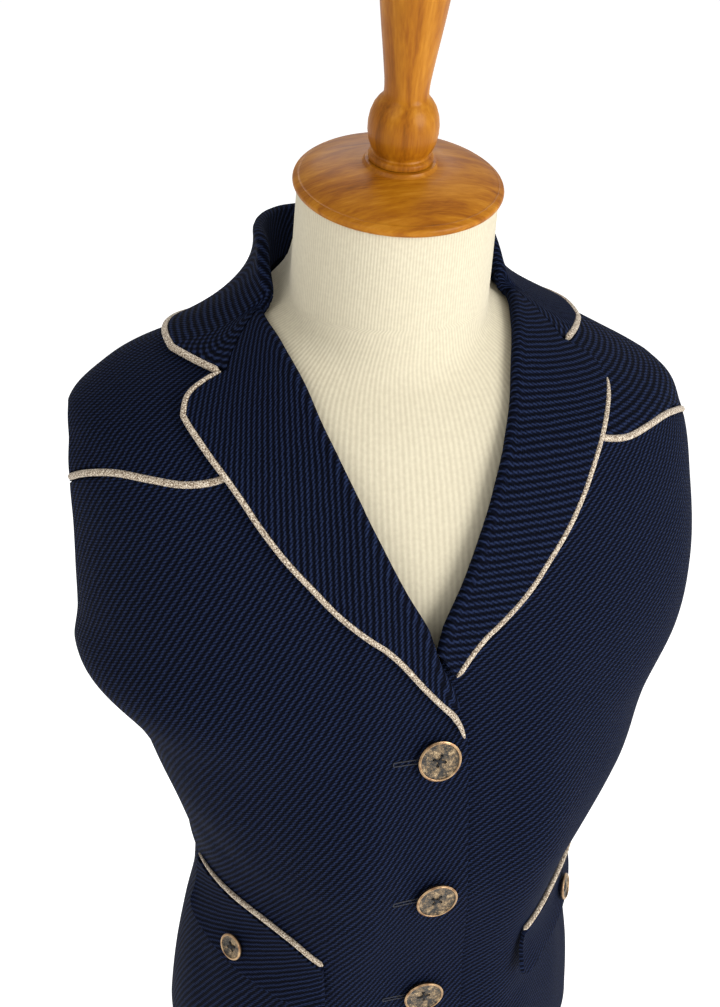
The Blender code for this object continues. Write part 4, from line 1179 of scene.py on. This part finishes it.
class VEST_OT_flaps(bpy.types.Operator):
    """Hang the pocket flaps below their piped seams"""
    bl_idname = "vest.flaps"
    bl_label = "Pocket flaps"

    def execute(self, context):
        corner = 0.07
        ends = np.sin(np.linspace(0, math.pi / 2, 9)) ** 2 * corner
        shares = np.sort(np.concatenate([ends[:-1], np.linspace(corner, 1 - corner, 64),
                                         (1 - ends[::-1])[1:]]))
        for hand, side in SIDES:
            points, places = flap_grid(hand, shares, np.linspace(0, 1, 32))
            grain = grain_map(flat_place(places * (hand, 1.0)), f"flap_{side}")
            shell = cloth_piece(f"flap_{side}", points, grain, DOUBLED)
            lift = CLOTH + SEAM_GAP / 2 + FLAP_PIPING
            seam, _ = layer(curve_through(FLAP_SEAM, 60), hand, lift)
            edge = piping(f"flap_{side}", seam, FLAP_PIPING, (2.0, 45.0))
        return {"FINISHED"}


class VEST_OT_yoke_piping(bpy.types.Operator):
    """Run the piping along the wavy yoke seams"""
    bl_idname = "vest.yoke_piping"
    bl_label = "Yoke piping"

    def execute(self, context):
        for hand, side in SIDES:
            path = curve_through(YOKE_SEAM, 80)
            shown = path[path[:, 0] > LAPEL_COVERS + 1]
            points, _ = layer(shown, hand, 0.9 * PIPING)
            piping(f"yoke_{side}", points, PIPING, (0.0, 2.0))
        return {"FINISHED"}


# Buttons

def button_profile(radius, thick):
    """Rim, dished face and rounded back of a button."""
    rim, sunk = radius - 1.0, thick - FACE_SUNK
    face = [(0.0, sunk), (rim - 4.0, sunk), (rim - 1.6, sunk + 0.2), (rim - 0.7, sunk + 0.5)]
    edge = [(rim - 0.45, thick - 0.3)] + rounded(rim, thick - 0.5, 0.5, 150, 10, 6)
    side = [(radius - 0.1, thick - 0.6), (radius, thick - 1.2), (radius - 0.2, thick - 1.8),
            (radius - 1.2, 0.8), (radius - 3.5, 0.0), (0.0, 0.0)]
    return face + edge + side


def dished_button(name, radius, thick, holes_apart):
    """A turned button with four holes, its face and rim in their own finishes."""
    made = turned_mesh(name, button_profile(radius, thick), BUTTON_STEPS, crackled_face())
    made.data.materials.append(rubbed_brass())
    apart = holes_apart / 2 * MM
    for x, y in ((-1, -1), (-1, 1), (1, -1), (1, 1)):
        mesh = bpy.data.meshes.new("hole")
        rod = bmesh.new()
        bmesh.ops.create_cone(rod, cap_ends=True, segments=20, radius1=HOLE_RADIUS * MM,
                              radius2=HOLE_RADIUS * MM, depth=12 * MM)
        bmesh.ops.translate(rod, verts=rod.verts, vec=(x * apart, y * apart, 0))
        rod.to_mesh(mesh)
        rod.free()
        cutter = bpy.data.objects.new("hole", mesh)
        bpy.context.scene.collection.objects.link(cutter)
        cut = made.modifiers.new("hole", "BOOLEAN")
        cut.object, cut.operation, cut.solver = cutter, "DIFFERENCE", "EXACT"
    bpy.context.view_layer.update()
    evaluated = made.evaluated_get(bpy.context.evaluated_depsgraph_get())
    shaped = bpy.data.meshes.new_from_object(evaluated)
    for cut in list(made.modifiers):
        bpy.data.objects.remove(cut.object, do_unlink=True)
        made.modifiers.remove(cut)
    made.data = shaped
    for face in shaped.polygons:
        out = math.hypot(face.center.x, face.center.y)
        face.material_index = 1 if out > (radius - 1.5) * MM else 0
    return made


def lie_square(piece, centre, normal, turn=0.0):
    """Places a piece at a point with its axis along the cloth's normal."""
    rotation = Vector(normal).to_track_quat("Z", "Y").to_matrix() @ Matrix.Rotation(turn, 3, "Z")
    piece.matrix_world = Matrix.Translation(Vector(to_scene(centre))) @ rotation.to_4x4()


def cross_stitch(name, centre, normal, thick, holes_apart, turn):
    """Thread crossing between the four holes, and the shank under the button."""
    hole, top = holes_apart / 2, thick - FACE_SUNK
    arc = np.linspace(-1, 1, 11)
    bow = top + STITCH_RISE * (1 - arc**4) - STITCH_DIP * arc**8
    data = cord_data(name, THREAD, 3)
    for side in (1, -1):
        for offset in (-STRANDS_APART / 2, STRANDS_APART / 2):
            x, y = arc * hole + offset * side, arc * hole * side - offset
            add_line(data, np.stack([x, y, bow], 1) * MM)
    for x, y in ((1, 1), (-1, 1), (-1, -1), (1, -1)):
        shank = [(x * hole, y * hole, height) for height in (top, -BUTTON_SEAT)]
        add_line(data, np.array(shank) * MM)
    made = new_object(name, data, waxed_thread())
    lie_square(made, centre, normal, turn)
    return made


class VEST_OT_buttons(bpy.types.Operator):
    """Sew on the buttons and work the buttonholes"""
    bl_idname = "vest.buttons"
    bl_label = "Buttons and buttonholes"

    def execute(self, context):
        for k, (level, degrees) in enumerate(zip(BUTTON_LEVELS, BUTTON_TURNS), 1):
            turn = math.radians(degrees)
            point, normal = layer(np.array([[0.0, level]]), -1, CLOTH + BUTTON_SEAT)
            made = dished_button(f"brass_button_{k}", BUTTON_RADIUS, BUTTON_THICK, HOLES_APART)
            lie_square(made, point[0], normal[0], turn)
            seat_piece(made, f"button_front_{k}")
            seat_piece(cross_stitch(f"thread_{k}", point[0], normal[0], BUTTON_THICK,
                                    HOLES_APART, turn))
            self.buttonhole(f"buttonhole_{k}", level)
        for hand, side in SIDES:
            self.flap_button(hand, side)
        return {"FINISHED"}

    def buttonhole(self, name, level):
        """Two rows of worked thread round a slit that runs back from the button."""
        x = np.linspace(-SLIT_END, -SLIT_START, 30)
        bar = np.linspace(SLIT_HALF, -SLIT_HALF, 6)[1:-1]
        y = level + np.concatenate([SLIT_HALF + 0 * x, bar, -SLIT_HALF + 0 * x])
        x = np.concatenate([x[::-1], -SLIT_END - 0.4 + 0 * bar, x])
        depth = CORE_Y - skin(0.0, level)[..., 1]
        places = np.stack([np.degrees(np.arctan2(-x, depth)), y], 1)
        points, _ = layer(places, -1, CLOTH + 0.15, folded=True)
        seat_piece(cord_curve(name, points, SLIT_THREAD, buttonhole_twist(), rounding=2))

    def flap_button(self, hand, side):
        seam = np.array(FLAP_SEAM, float)
        share = np.interp(FLAP_BUTTON[0], seam[:, 0], np.linspace(0, 1, len(seam)))
        here, _ = flap_grid(hand, np.array([share - 0.03, share + 0.03]),
                            (FLAP_BUTTON[1] - 0.1, FLAP_BUTTON[1] + 0.1))
        normal = unit(np.cross(here[1, 0] - here[0, 0], here[0, 1] - here[0, 0])) * hand
        centre = here.mean(axis=(0, 1)) + normal * (DOUBLED / 2 + BUTTON_SEAT)
        turn = math.radians(FLAP_BUTTON_TURN * hand)
        made = dished_button(f"brass_flap_button_{side}", FLAP_BUTTON_RADIUS, FLAP_BUTTON_THICK,
                             FLAP_HOLES_APART)
        lie_square(made, centre, normal, turn)
        seat_piece(made, f"button_flap_{side}")
        seat_piece(cross_stitch(f"thread_flap_{side}", centre, normal, FLAP_BUTTON_THICK,
                                FLAP_HOLES_APART, turn))


# The dress form

def neck_axis(level):
    """How far back the leaning neck's axis lies at a level."""
    return NECK_TOP_Y + (NECK_TOP - level) * math.tan(NECK_LEAN)


def outside_form(points):
    """The torso and the neck, run together at the root of the neck."""
    s = section(FORM_SECTIONS, points[..., 2])
    scale = reach(FORM_SECTIONS, points)
    flat = np.hypot(points[..., 0] - s["lean"], points[..., 1] - s["middle"])
    torso = (scale - 1) * flat / np.maximum(scale, 0.05)
    radius = NECK_RADIUS + (NECK_TOP - points[..., 2]) * NECK_FLARE
    neck = np.hypot(points[..., 0], points[..., 1] - neck_axis(points[..., 2])) - radius
    neck = np.where(points[..., 2] < ARM_LEVEL, NOT_HERE, neck)
    torso = np.where(points[..., 2] > FORM_SECTIONS[-1][0], NOT_HERE, torso)
    share = np.clip(0.5 + 0.5 * (neck - torso) / NECK_BLEND, 0, 1)
    return neck * (1 - share) + torso * share - NECK_BLEND * share * (1 - share) > 0


def form_rings(around):
    """Rings from the flat bottom up to the neck's slanted top."""
    count = len(FORM_LEVELS)
    levels = np.interp(np.arange(0, count - 0.99, 0.25), np.arange(count), FORM_LEVELS)
    turn = np.radians(np.arange(around) * 360 / around)
    rings = []
    for level in levels:
        tilt = NECK_LEAN * float(ramp(level, NECK_TILTS))
        middle = float(section(FORM_SECTIONS, np.array(float(level)))["middle"])
        centre_y = middle + (neck_axis(level) - middle) * float(ramp(level, NECK_CENTRES))
        centre_z = level
        if level > NECK_TILTS[0]:
            top = NECK_TOP + (CAP_UNDER - SEAM_GAP) * math.cos(NECK_LEAN)
            centre_z = level + (top - FORM_LEVELS[-1]) * float(ramp(level, NECK_SETTLES))
            centre_y = neck_axis(centre_z)
        heading = np.stack([np.sin(turn), -np.cos(turn) * math.cos(tilt),
                            -np.cos(turn) * math.sin(tilt)], -1)
        origin = np.array([0.0, centre_y, centre_z]) + 0 * heading
        rings.append(first_outside(origin, heading, outside_form))
    rings = np.array(rings)
    return np.concatenate([rings, rings[:, :1]], axis=1)


class VEST_OT_form(bpy.types.Operator):
    """Cover the form in ribbed jersey and turn its wooden pieces"""
    bl_idname = "vest.form"
    bl_label = "Dress form"

    def execute(self, context):
        rings = form_rings(FORM_STEPS)
        share = np.arange(FORM_STEPS + 1) / FORM_STEPS
        height = run_along(rings, 0).mean(1)
        grain = np.stack(np.meshgrid(share, height), -1)
        mesh = grid_mesh("jersey_torso", rings, grain, wrap=True)
        mesh.set_sharp_from_angle(angle=math.radians(50))
        torso = new_object("jersey_torso", mesh, ribbed_cream_jersey())
        seat_piece(torso, "form_torso")
        self.woodwork()
        return {"FINISHED"}

    def woodwork(self):
        flat_grain = turned_wood("varnished_flat_grain", (0.35, 2.2, 1.0))
        long_grain = turned_wood("varnished_long_grain", (1.6, 1.6, 0.18))
        top, base_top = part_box("pole")[1].z / MM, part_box("base")[1].z / MM
        cap = [*CAP_PROFILE, *rounded(CAP_RADIUS - 2.4, -1.5, 2.4, 72, -72, 12),
               (CAP_RADIUS - 3.4, CAP_UNDER), (0.0, CAP_UNDER)]
        pole = [(radius, top + height) for radius, height in POLE_HEAD]
        pole += [(radius, base_top + height) for radius, height in POLE_FOOT]
        base = [(radius, base_top + height) for radius, height in BASE_TOP]
        base += [*rounded(151.0, 9.0, 9.0, 66, -66, 16), (151.0, 0.3), (149.5, 0.0), (0.0, 0.0)]
        upright = Matrix.Identity(4)
        leaning = (Matrix.Translation(Vector(to_scene((0.0, NECK_TOP_Y, NECK_TOP))))
                   @ Matrix.Rotation(NECK_LEAN, 4, "X"))
        for node, profile, look, lie in (("neck_cap", cap, flat_grain, leaning),
                                         ("finial", FINIAL_PROFILE, long_grain, leaning),
                                         ("pole", pole, long_grain, upright),
                                         ("base", base, flat_grain, upright)):
            made = turned_mesh(f"wood_{node}", profile, WOOD_STEPS, look)
            made.matrix_world = lie
            seat_piece(made, node)


# The studio

class VEST_OT_studio(bpy.types.Operator):
    """Set the camera, the pale floor and the soft lights"""
    bl_idname = "vest.studio"
    bl_label = "Studio"

    def execute(self, context):
        studio = context.scene.vest_studio
        self.camera(context)
        self.floor()
        self.surroundings(context, studio)
        for name, at, towards, size, power in LIGHTS:
            self.light(name, at, towards, size, getattr(studio, power))
        return {"FINISHED"}

    def camera(self, context):
        turned = (Matrix.Rotation(CAMERA_YAW, 3, "Z") @ Matrix.Rotation(-CAMERA_PITCH, 3, "X")
                  @ Matrix.Rotation(CAMERA_ROLL, 3, "Y"))
        right, ahead, up = turned.col[0], turned.col[1], turned.col[2]
        place = Matrix((right, up, -ahead)).transposed().to_4x4()
        place.translation = Vector(to_scene(CAMERA_AT))
        data = bpy.data.cameras.new("camera")
        data.sensor_fit = "VERTICAL"
        data.sensor_height = SENSOR
        data.lens = SENSOR * FOCAL_PIXELS / PICTURE_HEIGHT
        camera = bpy.data.objects.new("camera", data)
        camera.matrix_world = place
        context.scene.collection.objects.link(camera)
        context.scene.camera = camera

    def floor(self):
        mesh = bpy.data.meshes.new("floor")
        made = bmesh.new()
        bmesh.ops.create_grid(made, x_segments=1, y_segments=1, size=FLOOR_SIZE)
        made.to_mesh(mesh)
        made.free()
        new_object("floor", mesh, opal_acrylic())

    def surroundings(self, context, studio):
        world = bpy.data.worlds.new("white_room")
        context.scene.world = world
        world.use_nodes = True
        background = world.node_tree.nodes["Background"]
        background.inputs["Color"].default_value = (1.0, 1.0, 1.0, 1.0)
        background.inputs["Strength"].default_value = studio.daylight
        context.scene.view_settings.view_transform = "Standard"

    def light(self, name, at, towards, size, power):
        data = bpy.data.lights.new(name, "AREA")
        data.shape = "DISK"
        data.size = size
        data.energy = power
        made = bpy.data.objects.new(name, data)
        made.location = at
        made.rotation_euler = (Vector(towards) - Vector(at)).to_track_quat("-Z", "Y").to_euler()
        bpy.context.scene.collection.objects.link(made)


class VEST_PT_sidebar(bpy.types.Panel):
    bl_label = "Western vest"
    bl_space_type = "VIEW_3D"
    bl_region_type = "UI"
    bl_category = "Vest"

    def draw(self, context):
        for steps in OPERATORS:
            self.layout.operator(steps.bl_idname)


GROUPS = {"vest_cloth": VestCloth, "vest_trim": VestTrim, "vest_form": VestForm,
          "vest_studio": VestStudio}
OPERATORS = (VEST_OT_studio, VEST_OT_form, VEST_OT_panels, VEST_OT_yoke_piping, VEST_OT_lapels,
             VEST_OT_collar, VEST_OT_flaps, VEST_OT_buttons)


def register():
    for name, group in GROUPS.items():
        bpy.utils.register_class(group)
        setattr(bpy.types.Scene, name, bpy.props.PointerProperty(type=group))
    for steps in OPERATORS:
        bpy.utils.register_class(steps)
    bpy.utils.register_class(VEST_PT_sidebar)


def unregister():
    bpy.utils.unregister_class(VEST_PT_sidebar)
    for steps in reversed(OPERATORS):
        bpy.utils.unregister_class(steps)
    for name, group in GROUPS.items():
        delattr(bpy.types.Scene, name)
        bpy.utils.unregister_class(group)


def main():
    register()
    for steps in OPERATORS:
        group, action = steps.bl_idname.split(".")
        getattr(getattr(bpy.ops, group), action)()


if __name__ == "__main__":
    main()
